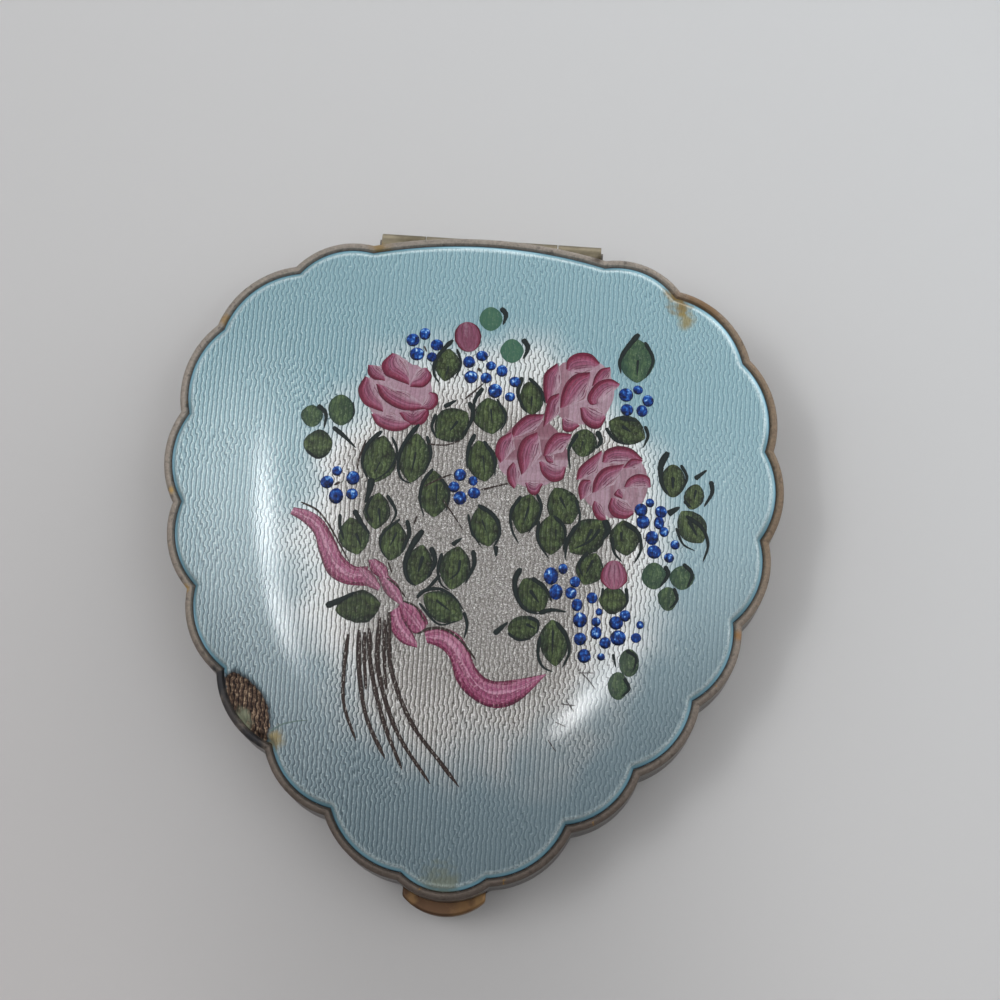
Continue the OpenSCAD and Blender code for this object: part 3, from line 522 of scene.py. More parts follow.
# The ribbon: the two sides of each fold, in the picture's pixels
RIBBON = [
    ([(290, 514), (303, 522), (314, 534), (319, 552), (328, 574), (345, 584), (366, 586)],
     [(294, 507), (310, 511), (324, 521), (334, 538), (343, 556), (355, 566), (368, 566)], 0.5),
    ([(358, 572), (364, 584), (378, 591)], [(360, 566), (372, 572), (381, 586)], 0.6),
    ([(368, 560), (371, 571), (382, 580)], [(376, 559), (386, 566), (389, 577)], 0.3),
    ([(378, 578), (386, 594), (400, 605)], [(389, 576), (399, 586), (404, 603)], 0.6),
    ([(390, 612), (391, 630), (402, 643), (417, 648)], [(400, 606), (404, 618), (412, 632), (417, 642)], 0.5),
    ([(398, 606), (401, 620), (410, 632), (419, 634)], [(406, 601), (420, 609), (428, 622), (424, 630)], 0.45),
    ([(427, 643), (440, 648), (450, 659), (456, 680), (470, 697), (493, 708), (518, 702), (546, 675)],
     [(424, 631), (440, 627), (458, 634), (468, 648), (476, 668), (490, 680), (512, 680), (546, 674)], 0.5)]

# Fine brown lines: over the ribbon, between the flowers, and the stems, with their widths
TWIGS = [
    ([(301, 502), (317, 510), (329, 525), (339, 543), (350, 563)], 2), ([(387, 578), (397, 586), (406, 598)], 2),
    ([(403, 601), (416, 607), (425, 622)], 2), ([(417, 634), (428, 629), (444, 629), (460, 640), (476, 660)], 3),
    ([(388, 562), (392, 573)], 2), ([(481, 490), (497, 486), (510, 483)], 2), ([(465, 399), (476, 390), (484, 383)], 2),
    ([(366, 440), (360, 456), (357, 470)], 2), ([(417, 516), (414, 524)], 2), ([(425, 486), (437, 480), (452, 474)], 2),
    ([(340, 482), (334, 485)], 3), ([(424, 346), (427, 352)], 2), ([(478, 368), (481, 372)], 3),
    ([(428, 444), (446, 445), (462, 440)], 1.5), ([(443, 500), (452, 513), (463, 530)], 1.5)]
STEMS = [
    ([(348, 634), (344, 670), (344, 705), (356, 741)], 4), ([(359, 630), (359, 668), (366, 716), (385, 759)], 5),
    ([(369, 628), (371, 668), (383, 720), (402, 770)], 5), ([(380, 617), (378, 668), (396, 730), (430, 784)], 5),
    ([(389, 612), (391, 668), (411, 722), (440, 762), (459, 787)], 5), ([(365, 632), (364, 650), (366, 690)], 4),
    ([(385, 620), (384, 650), (386, 690)], 4)]
# Scratches and the fine crack from the chip
SCRATCHES = [
    ([(583, 674), (590, 682), (596, 690)], 1), ([(561, 704), (576, 706)], 1), ([(566, 700), (574, 712)], 1),
    ([(555, 722), (566, 727)], 1), ([(578, 673), (594, 673)], 1), ([(548, 740), (556, 752)], 1)]
CRACK = [([(270, 731), (283, 724), (297, 721), (309, 720)], 1.8)]


def hair_strokes(edge, toward):
    """Dark lines that single hairs of the brush draw within a petal, side by side with its loaded edge."""
    outer, inner = petal_sides(edge, toward, 30)
    lines = []
    for place in (0.26, 0.38, 0.5, 0.63, 0.8):
        first, last = random.randint(2, 8), random.randint(20, 28)
        at = place + random.uniform(-0.04, 0.04)
        path = outer + (inner - outer) * at
        lines.append(([tuple(p) for p in path[first:last:4]], random.uniform(0.7, 1.3)))
    return lines


def lines_on_lid(name, lines, coat, material, swell):
    """Brush lines that follow paths over the enamel: swept, laid on its skin, and made one mesh. coat says how
    much paint lies under them, and swell how far a line thins toward its end."""
    points, edges, widths = [], [], []
    one_px = on_lid(np.array([500.0]), np.array([500.0])) - on_lid(np.array([501.0]), np.array([500.0]))
    px = np.linalg.norm(one_px)
    for path, width in lines:
        line = smooth_line(path, 24)
        flat = on_lid(line[:, 0], line[:, 1])
        start = len(points)
        share = np.linspace(0, 1, len(line))
        body = np.minimum(1, share / 0.10 + 0.25) ** 0.5 * (1 - swell * share ** 1.6)
        body = body * np.minimum(1, (1 - share) / 0.08 + 0.2)
        body = body * (1 + 0.12 * np.array([random.uniform(-1, 1) for _ in share]))
        for k, p in enumerate(flat):
            points.append((p[0] * MM, p[1] * MM, float(crown_z(p[0], p[1])) * MM))
            widths.append(width / 2 * px * MM * body[k])
            if k:
                edges.append((start + k - 1, start + k))
    mesh = bpy.data.meshes.new(name)
    mesh.from_pydata(points, edges, [])
    mesh.attributes.new("half_width", "FLOAT", "POINT").data.foreach_set("value", np.array(widths, np.float32))
    piece = in_scene(name, mesh)

    tree, given = new_tree(name, [("Ground", "Object"), ("Step", "Float"), ("Lift", "Float"), ("Crown", "Float"),
                                  ("Material", "Material")])
    paths = add(tree, "GeometryNodeMeshToCurve", {"Mesh": given["Geometry"]})
    paths = add(tree, "GeometryNodeResampleCurve", {"Curve": paths, "Length": given["Step"]}, mode="LENGTH")
    paths = add(tree, "GeometryNodeSetCurveNormal", {"Curve": paths}, mode="Z_UP")
    place = add(tree, "GeometryNodeSplineParameter")
    paths = add(tree, "GeometryNodeStoreNamedAttribute",
                {"Geometry": paths, "Name": "along", "Value": place.outputs["Length"]},
                data_type="FLOAT", domain="POINT")
    profile = add(tree, "GeometryNodeCurvePrimitiveLine", {"Start": (-1, 0, 0), "End": (1, 0, 0)})
    profile = add(tree, "GeometryNodeResampleCurve", {"Curve": profile, "Count": 5}, mode="COUNT")
    place = add(tree, "GeometryNodeSplineParameter")
    profile = add(tree, "GeometryNodeStoreNamedAttribute",
                  {"Geometry": profile, "Name": "across", "Value": place.outputs["Factor"]},
                  data_type="FLOAT", domain="POINT")
    width = add(tree, "GeometryNodeInputNamedAttribute", {"Name": "half_width"}, data_type="FLOAT")
    skin = add(tree, "GeometryNodeCurveToMesh", {"Curve": paths, "Profile Curve": profile, "Scale": width})
    ground = add(tree, "GeometryNodeObjectInfo", {"Object": given["Ground"]}, transform_space="RELATIVE")
    here = add(tree, "GeometryNodeInputPosition")
    above = add(tree, "ShaderNodeVectorMath", {0: here, 1: (0, 0, 5 * MM)}, operation="ADD")
    hit = add(tree, "GeometryNodeRaycast", {"Target Geometry": ground.outputs["Geometry"], "Source Position": above,
                                            "Ray Direction": (0, 0, -1), "Ray Length": 12 * MM})
    across = add(tree, "GeometryNodeInputNamedAttribute", {"Name": "across"}, data_type="FLOAT")
    bow = add(tree, "ShaderNodeMath", {0: across, 1: 1.0}, operation="SUBTRACT")
    bow = add(tree, "ShaderNodeMath", {0: bow, 1: across}, operation="MULTIPLY")
    bow = add(tree, "ShaderNodeMath", {0: bow, 1: -4.0}, operation="MULTIPLY")
    bow = add(tree, "ShaderNodeMath", {0: bow, 1: given["Crown"], 2: given["Lift"]}, operation="MULTIPLY_ADD")
    rise = add(tree, "ShaderNodeCombineXYZ", {"Z": bow})
    laid = add(tree, "ShaderNodeVectorMath", {0: hit.outputs["Hit Position"], 1: rise}, operation="ADD")
    skin = add(tree, "GeometryNodeSetPosition",
               {"Geometry": skin, "Selection": hit.outputs["Is Hit"], "Position": laid})
    skin = add(tree, "GeometryNodeRealizeInstances", {"Geometry": skin})
    skin = add(tree, "GeometryNodeSetMaterial", {"Geometry": skin, "Material": given["Material"]})
    add(tree, "NodeGroupOutput", {"Geometry": skin})
    return grown(piece, tree, {"Ground": enamel, "Step": 0.12 * MM, "Lift": (PAINT_LIFT + COAT_LIFT * coat) * MM,
                               "Crown": 0.012 * MM, "Material": material})


def grown(piece, tree, inputs):
    """Runs a geometry tree on a piece and keeps the result as its plain mesh, facing up."""
    modifier = piece.modifiers.new(tree.name, "NODES")
    modifier.node_group = tree
    for item in tree.interface.items_tree:
        if item.in_out == "INPUT" and item.name in inputs:
            modifier[item.identifier] = inputs[item.name]
    bpy.context.view_layer.update()
    shown = piece.evaluated_get(bpy.context.evaluated_depsgraph_get())
    mesh = bpy.data.meshes.new_from_object(shown)
    piece.modifiers.clear()
    name = piece.data.name
    old, piece.data = piece.data, mesh
    bpy.data.meshes.remove(old)
    mesh.name = name
    facing = sum(p.normal.z * p.area for p in mesh.polygons)
    if facing < 0:
        mesh.flip_normals()
    mesh.polygons.foreach_set("use_smooth", [True] * len(mesh.polygons))
    return piece


PX_MM = 0.0972              # one pixel of the picture on the lid, in millimetres
DROP_H = 0.13               # height of a drop of paint over its radius


def beads_on_lid(name, dots, material):
    """Raised drops of paint, one at each place, set square to the dome."""
    flat = on_lid(np.array([d[0] for d in dots], float), np.array([d[1] for d in dots], float))
    x, y = flat[:, 0], flat[:, 1]
    z, h = crown_z(x, y), 0.01
    tilt_x = (crown_z(x + h, y) - crown_z(x - h, y)) / (2 * h)
    tilt_y = (crown_z(x, y + h) - crown_z(x, y - h)) / (2 * h)
    mesh = bpy.data.meshes.new(name)
    mesh.from_pydata([(a * MM, b * MM, c * MM) for a, b, c in zip(x, y, z + PAINT_LIFT / 2)], [], [])
    mesh.attributes.new("size", "FLOAT", "POINT").data.foreach_set(
        "value", np.array([d[2] * PX_MM * MM for d in dots], np.float32))
    mesh.attributes.new("facing", "FLOAT_VECTOR", "POINT").data.foreach_set(
        "vector", np.column_stack([-tilt_x, -tilt_y, np.ones(len(x))]).astype(np.float32).ravel())
    piece = in_scene(name, mesh)

    # one drop: a low dome, with a value that is high on the side toward the hinge and low round its edge, to paint
    # light on that side and shade round the edge
    rings, spokes = 4, 14
    points = [(math.cos(math.tau * k / spokes) * math.cos(0.5 * math.pi * j / rings),
               math.sin(math.tau * k / spokes) * math.cos(0.5 * math.pi * j / rings),
               DROP_H * math.sin(0.5 * math.pi * j / rings)) for j in range(rings) for k in range(spokes)]
    points.append((0, 0, DROP_H))
    faces = [(j * spokes + k, j * spokes + (k + 1) % spokes, (j + 1) * spokes + (k + 1) % spokes, (j + 1) * spokes + k)
             for j in range(rings - 1) for k in range(spokes)]
    last = (rings - 1) * spokes
    faces += [(last + k, last + (k + 1) % spokes, rings * spokes) for k in range(spokes)]
    up_side = [0.5 + 0.24 * p[1] - 0.34 * math.hypot(p[0], p[1]) ** 4 for p in points]
    drop = new_mesh("paint_drop", points, faces, {"up_side": up_side})

    tree, given = new_tree(name, [("Drop", "Object"), ("Seed", "Int"), ("Material", "Material")])
    source = add(tree, "GeometryNodeObjectInfo", {"Object": given["Drop"]})
    facing = add(tree, "GeometryNodeInputNamedAttribute", {"Name": "facing"}, data_type="FLOAT_VECTOR")
    turn = add(tree, "FunctionNodeAlignRotationToVector", {"Vector": facing.outputs[0]}, axis="Z")
    size = add(tree, "GeometryNodeInputNamedAttribute", {"Name": "size"}, data_type="FLOAT")
    uneven = add(tree, "FunctionNodeRandomValue", {"Min": (0.88, 0.92, 0.8), "Max": (1.08, 1.12, 1.2),
                                                   "Seed": given["Seed"]}, data_type="FLOAT_VECTOR")
    scale = add(tree, "ShaderNodeVectorMath", {0: uneven.outputs[0], "Scale": size}, operation="SCALE")
    drops = add(tree, "GeometryNodeInstanceOnPoints",
                {"Points": given["Geometry"], "Instance": source.outputs["Geometry"], "Rotation": turn, "Scale": scale})
    drops = add(tree, "GeometryNodeRealizeInstances", {"Geometry": drops})
    drops = add(tree, "GeometryNodeSetMaterial", {"Geometry": drops, "Material": given["Material"]})
    add(tree, "NodeGroupOutput", {"Geometry": drops})
    grown(piece, tree, {"Drop": drop, "Seed": 7, "Material": material})
    bpy.data.objects.remove(drop)
    return piece


def engraving(tree, in_mm):
    """Engine-turned lines every 0.45 mm: each stays upright, then jogs aside and back about every 1.25 mm, in
    step in blocks a few lines wide, more in some blocks than in others. Returns the lines, a dark furrow close
    beside each bright crest, and the fine grit of the cut, both about -1 to 1."""
    xyz = add(tree, "ShaderNodeSeparateXYZ", {0: in_mm})
    blocks = add(tree, "ShaderNodeVectorMath", {0: in_mm, 1: (0.5, 0.12, 0.0)}, operation="MULTIPLY")
    drift = add(tree, "ShaderNodeTexNoise", {"Vector": blocks, "Scale": 1.0, "Detail": 1.0})
    drift = add(tree, "ShaderNodeMath", {0: drift.outputs["Fac"], 1: 24.0}, operation="MULTIPLY")
    beat = add(tree, "ShaderNodeMath", {0: xyz.outputs["Y"], 1: math.tau / JOG_STEP, 2: drift},
               operation="MULTIPLY_ADD")
    jog = add(tree, "ShaderNodeMath", {0: beat}, operation="SINE")
    jog = add(tree, "ShaderNodeMapRange", {"Value": jog, "From Min": -0.5, "From Max": 0.5,
                                           "To Min": -1.0, "To Max": 1.0})
    swing = add(tree, "ShaderNodeTexNoise", {"Vector": in_mm, "Scale": 0.22, "Detail": 2.0})
    swing = add(tree, "ShaderNodeMapRange", {"Value": swing.outputs["Fac"], "From Min": 0.38, "From Max": 0.62,
                                             "To Min": 0.015, "To Max": 0.1})
    across = add(tree, "ShaderNodeMath", {0: jog, 1: swing, 2: xyz.outputs["X"]}, operation="MULTIPLY_ADD")
    tremble = add(tree, "ShaderNodeTexNoise", {"Vector": in_mm, "Scale": 1.1, "Detail": 3.0, "Roughness": 0.6})
    across = add(tree, "ShaderNodeMath", {0: tremble.outputs["Fac"], 1: 0.2, 2: across}, operation="MULTIPLY_ADD")
    phase = add(tree, "ShaderNodeMath", {0: across, 1: math.tau / LINE_STEP}, operation="MULTIPLY")
    wide = add(tree, "ShaderNodeMath", {0: phase}, operation="SINE")
    fine = add(tree, "ShaderNodeMath", {0: phase, 1: 2.0, 2: 0.8}, operation="MULTIPLY_ADD")
    fine = add(tree, "ShaderNodeMath", {0: fine}, operation="SINE")
    fine = add(tree, "ShaderNodeMath", {0: fine, 1: 0.45}, operation="MULTIPLY")
    lines = add(tree, "ShaderNodeMath", {0: wide, 1: 0.7, 2: fine}, operation="MULTIPLY_ADD")
    grit = add(tree, "ShaderNodeTexNoise", {"Vector": in_mm, "Scale": 4.5, "Detail": 3.0, "Roughness": 0.7})
    grit = add(tree, "ShaderNodeMath", {0: grit.outputs["Fac"], 1: 5.0, 2: -2.5}, operation="MULTIPLY_ADD")
    return lines.outputs[0], grit.outputs[0]


def near_place(tree, in_mm, u, v, reach):
    """1 close to the place under a point of the picture, falling to 0 at reach millimetres, with a ragged edge."""
    px, py = on_lid(float(u), float(v))
    flat = add(tree, "ShaderNodeVectorMath", {0: in_mm, 1: (1, 1, 0)}, operation="MULTIPLY")
    off = add(tree, "ShaderNodeVectorMath", {0: flat, 1: (px, py, 0)}, operation="DISTANCE")
    blot = add(tree, "ShaderNodeTexNoise", {"Vector": in_mm, "Scale": 1.1, "Detail": 3.0})
    off = add(tree, "ShaderNodeMath", {0: blot.outputs["Fac"], 1: reach * 1.4, 2: off.outputs["Value"]},
              operation="MULTIPLY_ADD")
    return add(tree, "ShaderNodeMapRange", {"Value": off, "From Min": reach * 0.9, "From Max": reach * 1.7,
                                            "To Min": 1.0, "To Max": 0.0}, interpolation_type="SMOOTHSTEP").outputs[0]


def stained(tree, in_mm, tint, marks):
    """Lays stains over a colour: each has its place in the picture, reach in millimetres, colour and strength."""
    for (u, v), reach, text, strength in marks:
        amount = add(tree, "ShaderNodeMath", {0: near_place(tree, in_mm, u, v, reach), 1: strength},
                     operation="MULTIPLY")
        tint = add(tree, "ShaderNodeMix", {"Factor": amount, "A": tint, "B": colour(text)}, data_type="RGBA").outputs[2]
    return tint


# The clear middle of the lid and the place where the blue is thinnest and its lines carry most painted glint, in the
# picture's pixels, and the clear oval's reaches
CLEAR_AT, THIN_AND_GLINT_AT = (477.0, 550.0), (240.0, 600.0)
CLEAR_W, CLEAR_H = 17.5, 21.0
ENAMEL_STAINS = [((678, 290), 2.0, "#7f6622", 0.95), ((681, 306), 1.5, "#7f6622", 0.9),
                 ((686, 320), 1.2, "#8d7a36", 0.8), ((275, 739), 1.3, "#98854c", 0.85),
                 ((440, 884), 2.6, "#76795c", 0.6), ((221, 690), 1.7, "#242a33", 1.0),
                 ((230, 716), 1.7, "#242a33", 1.0), ((246, 738), 1.7, "#242a33", 1.0),
                 ((262, 748), 1.3, "#242a33", 1.0)]
CHIP_STAINS = [((241, 716), 1.1, "#8f947c", 0.9), ((246, 724), 0.9, "#8f947c", 0.8)]


def fired_enamel():
    """Translucent fired enamel, polished, over an engine-turned silvered plate: the eye gets a deep, glassy
    gloss with wavy engraved lines under it, aqua all round and nearly clear silver behind the spray."""
    material, tree = start_material("fired_enamel_over_engine_turning")
    place = add(tree, "ShaderNodeTexCoord").outputs["Object"]
    in_mm = add(tree, "ShaderNodeVectorMath", {0: place, "Scale": 1000.0}, operation="SCALE")
    y = add(tree, "ShaderNodeSeparateXYZ", {0: in_mm}).outputs["Y"]
    lines, grit = engraving(tree, in_mm)

    # the clear, silvery middle: an oval with a sprayed edge
    mid_x, mid_y = on_lid(*CLEAR_AT)
    spot = add(tree, "ShaderNodeMapping", {"Vector": in_mm, "Location": (-mid_x / CLEAR_W, -mid_y / CLEAR_H, 0),
                                           "Scale": (1 / CLEAR_W, 1 / CLEAR_H, 0)}, vector_type="POINT")
    spot = add(tree, "ShaderNodeVectorMath", {0: spot}, operation="LENGTH")
    haze = add(tree, "ShaderNodeTexNoise", {"Vector": in_mm, "Scale": 0.14, "Detail": 2.0})
    spot = add(tree, "ShaderNodeMath", {0: haze.outputs["Fac"], 1: 0.5, 2: spot.outputs["Value"]},
               operation="MULTIPLY_ADD")
    clear = add(tree, "ShaderNodeMapRange", {"Value": spot, "From Min": 1.02, "From Max": 1.42,
                                             "To Min": 1.0, "To Max": 0.0}, interpolation_type="SMOOTHSTEP")

    # the lines run plain under the blue; in the clear middle the cut is coarser and broken
    dust = add(tree, "ShaderNodeTexNoise", {"Vector": in_mm, "Scale": 8.0, "Detail": 2.0, "Roughness": 0.8})
    dust = add(tree, "ShaderNodeMath", {0: dust.outputs["Fac"], 1: 6.5, 2: -3.25}, operation="MULTIPLY_ADD")
    dust = add(tree, "ShaderNodeMix", {"Factor": 0.3, "A": dust, "B": grit}, data_type="FLOAT")
    sandy = add(tree, "ShaderNodeMapRange", {"Value": spot, "From Min": 0.55, "From Max": 1.05,
                                             "To Min": 0.78, "To Max": 0.3}, interpolation_type="SMOOTHSTEP")
    broken = add(tree, "ShaderNodeMix", {"Factor": sandy, "A": lines, "B": dust}, data_type="FLOAT")
    plain = add(tree, "ShaderNodeMix", {"Factor": 0.22, "A": lines, "B": grit}, data_type="FLOAT")
    height = add(tree, "ShaderNodeMix", {"Factor": clear, "A": plain, "B": broken}, data_type="FLOAT")
    # the lines show most at the left, where the blue is thinnest and the streak of light falls: their cut is deeper
    # there and their colour contrast is partly painted glint; the blue is thicker toward the right and the hinge
    left_x, left_y = on_lid(*THIN_AND_GLINT_AT)
    thick = add(tree, "ShaderNodeVectorMath", {0: in_mm, 1: (left_x, left_y, 10.0)}, operation="DISTANCE")
    depth_and_glint = add(tree, "ShaderNodeMapRange", {"Value": thick.outputs["Value"], "From Min": 14.0, "From Max": 34.0,
                                             "To Min": 1.55, "To Max": 0.95})
    depth_and_glint = add(tree, "ShaderNodeMix", {"Factor": clear, "A": depth_and_glint, "B": 1.0}, data_type="FLOAT")
    height = add(tree, "ShaderNodeMath", {0: height, 1: depth_and_glint}, operation="MULTIPLY")
    level = add(tree, "ShaderNodeMapRange", {"Value": height, "From Min": -1.0, "From Max": 1.0})
    blue = ramp(add(tree, "ShaderNodeValToRGB", {"Fac": level}),
                [(0.0, "#5f808b"), (0.24, "#80a4ae"), (0.7, "#8caeb7"), (0.95, "#c6dcde")])
    silver = ramp(add(tree, "ShaderNodeValToRGB", {"Fac": level}),
                  [(0.0, "#3c3632"), (0.3, "#76716c"), (0.62, "#a19c97"), (0.85, "#f4f2ef")])
    # toward the foot the blue is painted greyer and darker, partly as the enamel's own thinner tone and partly as
    # painted shade, and the lines stand out more there
    toward_foot_shade = add(tree, "ShaderNodeMapRange", {"Value": y, "From Min": 16.0, "From Max": -22.0,
                                            "To Min": 0.0, "To Max": 1.0}, interpolation_type="SMOOTHSTEP")
    grey = ramp(add(tree, "ShaderNodeValToRGB", {"Fac": level}),
                [(0.0, "#51636b"), (0.26, "#6b7f88"), (0.7, "#75888f"), (0.95, "#a3b2b7")])
    blue = add(tree, "ShaderNodeMix", {"Factor": toward_foot_shade, "A": blue.outputs["Color"], "B": grey.outputs["Color"]},
               data_type="RGBA")
    # a white bloom where the spray ends, and plain metal in the very middle
    bloom = add(tree, "ShaderNodeMapRange", {"Value": spot, "From Min": 0.85, "From Max": 1.2,
                                             "To Min": 0.0, "To Max": 1.0}, interpolation_type="SMOOTHSTEP")
    foot = add(tree, "ShaderNodeMapRange", {"Value": y, "From Min": -6.0, "From Max": -15.0,
                                            "To Min": 1.0, "To Max": 0.25}, interpolation_type="SMOOTHSTEP")
    bloom = add(tree, "ShaderNodeMath", {0: bloom, 1: foot}, operation="MULTIPLY")
    white = ramp(add(tree, "ShaderNodeValToRGB", {"Fac": level}),
                 [(0.0, "#3f3a37"), (0.2, "#827e79"), (0.42, "#dadad7"), (0.8, "#ffffff")])
    silver = add(tree, "ShaderNodeMix", {"Factor": bloom, "A": silver.outputs["Color"], "B": white.outputs["Color"]},
                 data_type="RGBA")
    tint = add(tree, "ShaderNodeMix", {"Factor": clear, "A": blue.outputs[2], "B": silver.outputs[2]}, data_type="RGBA")

    # enamel pools in the corner beside the rim: a dark line of painted shade in the corner, then a paler band, partly
    # painted highlight, on its rounded edge; just inside, the plate's turned edge catches light in painted specks
    edge = add(tree, "ShaderNodeAttribute", attribute_name="from_edge").outputs["Fac"]
    half_edge = add(tree, "ShaderNodeMath", {0: edge, 1: 0.5}, operation="MULTIPLY")
    edge_shade_and_highlight = ramp(add(tree, "ShaderNodeValToRGB", {"Fac": half_edge}),
                  [(0.0, "#22323d"), (0.025, "#41687a"), (0.06, "#76a7b8"), (0.16, "#8fb9c6")])
    by_rim = add(tree, "ShaderNodeMapRange", {"Value": edge, "From Min": 0.22, "From Max": 0.45,
                                              "To Min": 1.0, "To Max": 0.0}, interpolation_type="SMOOTHSTEP")
    tint = add(tree, "ShaderNodeMix", {"Factor": by_rim, "A": tint.outputs[2], "B": edge_shade_and_highlight.outputs["Color"]},
               data_type="RGBA")
    fleck = add(tree, "ShaderNodeMapRange", {"Value": grit, "From Min": -1.2, "From Max": 0.8})
    ridge = ramp(add(tree, "ShaderNodeValToRGB", {"Fac": half_edge}),
                 [(0.14, "#000000"), (0.2, "#ffffff"), (0.27, "#ffffff"), (0.38, "#000000")])
    fleck = add(tree, "ShaderNodeMath", {0: fleck, 1: ridge.outputs["Color"]}, operation="MULTIPLY")
    fleck = add(tree, "ShaderNodeMath", {0: fleck, 1: 0.6}, operation="MULTIPLY")
    tint = add(tree, "ShaderNodeMix", {"Factor": fleck, "A": tint.outputs[2], "B": colour("#dfeef0")}, data_type="RGBA")

    # stains: rust at the right-hand top and by the chip, olive at the foot, and dark patches round the chip
    tint = stained(tree, in_mm, tint.outputs[2], ENAMEL_STAINS)

    # the chip bares the brown, engraved plate
    chip = add(tree, "ShaderNodeAttribute", attribute_name="chip").outputs["Fac"]
    ragged = add(tree, "ShaderNodeTexNoise", {"Vector": in_mm, "Scale": 2.4, "Detail": 4.0})
    chip = add(tree, "ShaderNodeMath", {0: ragged.outputs["Fac"], 1: 0.5, 2: chip}, operation="MULTIPLY_ADD")
    bare = add(tree, "ShaderNodeMapRange", {"Value": chip, "From Min": 0.18, "From Max": 0.26,
                                            "To Min": 1.0, "To Max": 0.0})
    rust = add(tree, "ShaderNodeTexNoise", {"Vector": in_mm, "Scale": 2.0, "Detail": 4.0, "Roughness": 0.7})
    rust = add(tree, "ShaderNodeMath", {0: lines, 1: 0.16, 2: rust.outputs["Fac"]}, operation="MULTIPLY_ADD")
    rust = ramp(add(tree, "ShaderNodeValToRGB", {"Fac": rust}),
                [(0.30, "#1d1715"), (0.46, "#43322a"), (0.6, "#6b5546"), (0.72, "#b39c82")])
    rust = stained(tree, in_mm, rust.outputs["Color"], CHIP_STAINS)
    # the enamel darkens in a ring round the chip
    ring_dark = add(tree, "ShaderNodeMapRange", {"Value": chip, "From Min": 0.24, "From Max": 0.62,
                                              "To Min": 0.85, "To Max": 0.0})
    tint = add(tree, "ShaderNodeMix", {"Factor": ring_dark, "A": tint, "B": colour("#2b3138")}, data_type="RGBA")
    tint = add(tree, "ShaderNodeMix", {"Factor": bare, "A": tint.outputs[2], "B": rust}, data_type="RGBA")

    rough = add(tree, "ShaderNodeMapRange", {"Value": bare, "To Min": 0.5, "To Max": 0.62})
    coat = add(tree, "ShaderNodeMath", {0: 1.0, 1: bare}, operation="SUBTRACT")
    off_rim = add(tree, "ShaderNodeMath", {0: 1.0, 1: by_rim}, operation="SUBTRACT")
    smooth_rim = add(tree, "ShaderNodeMath", {0: height, 1: off_rim}, operation="MULTIPLY")
    bump = add(tree, "ShaderNodeBump", {"Height": smooth_rim, "Strength": 1.0, "Distance": 0.026 * MM})
    skin = add(tree, "ShaderNodeBump", {"Height": smooth_rim, "Strength": 1.0, "Distance": 0.0006 * MM})
    shader = add(tree, "ShaderNodeBsdfPrincipled",
                 {"Base Color": tint.outputs[2], "Metallic": 0.55, "Roughness": rough, "Normal": bump,
                  "Coat Weight": coat, "Coat Roughness": 0.04, "Coat IOR": 1.5, "Coat Normal": skin})
    end_material(tree, shader)
    return material


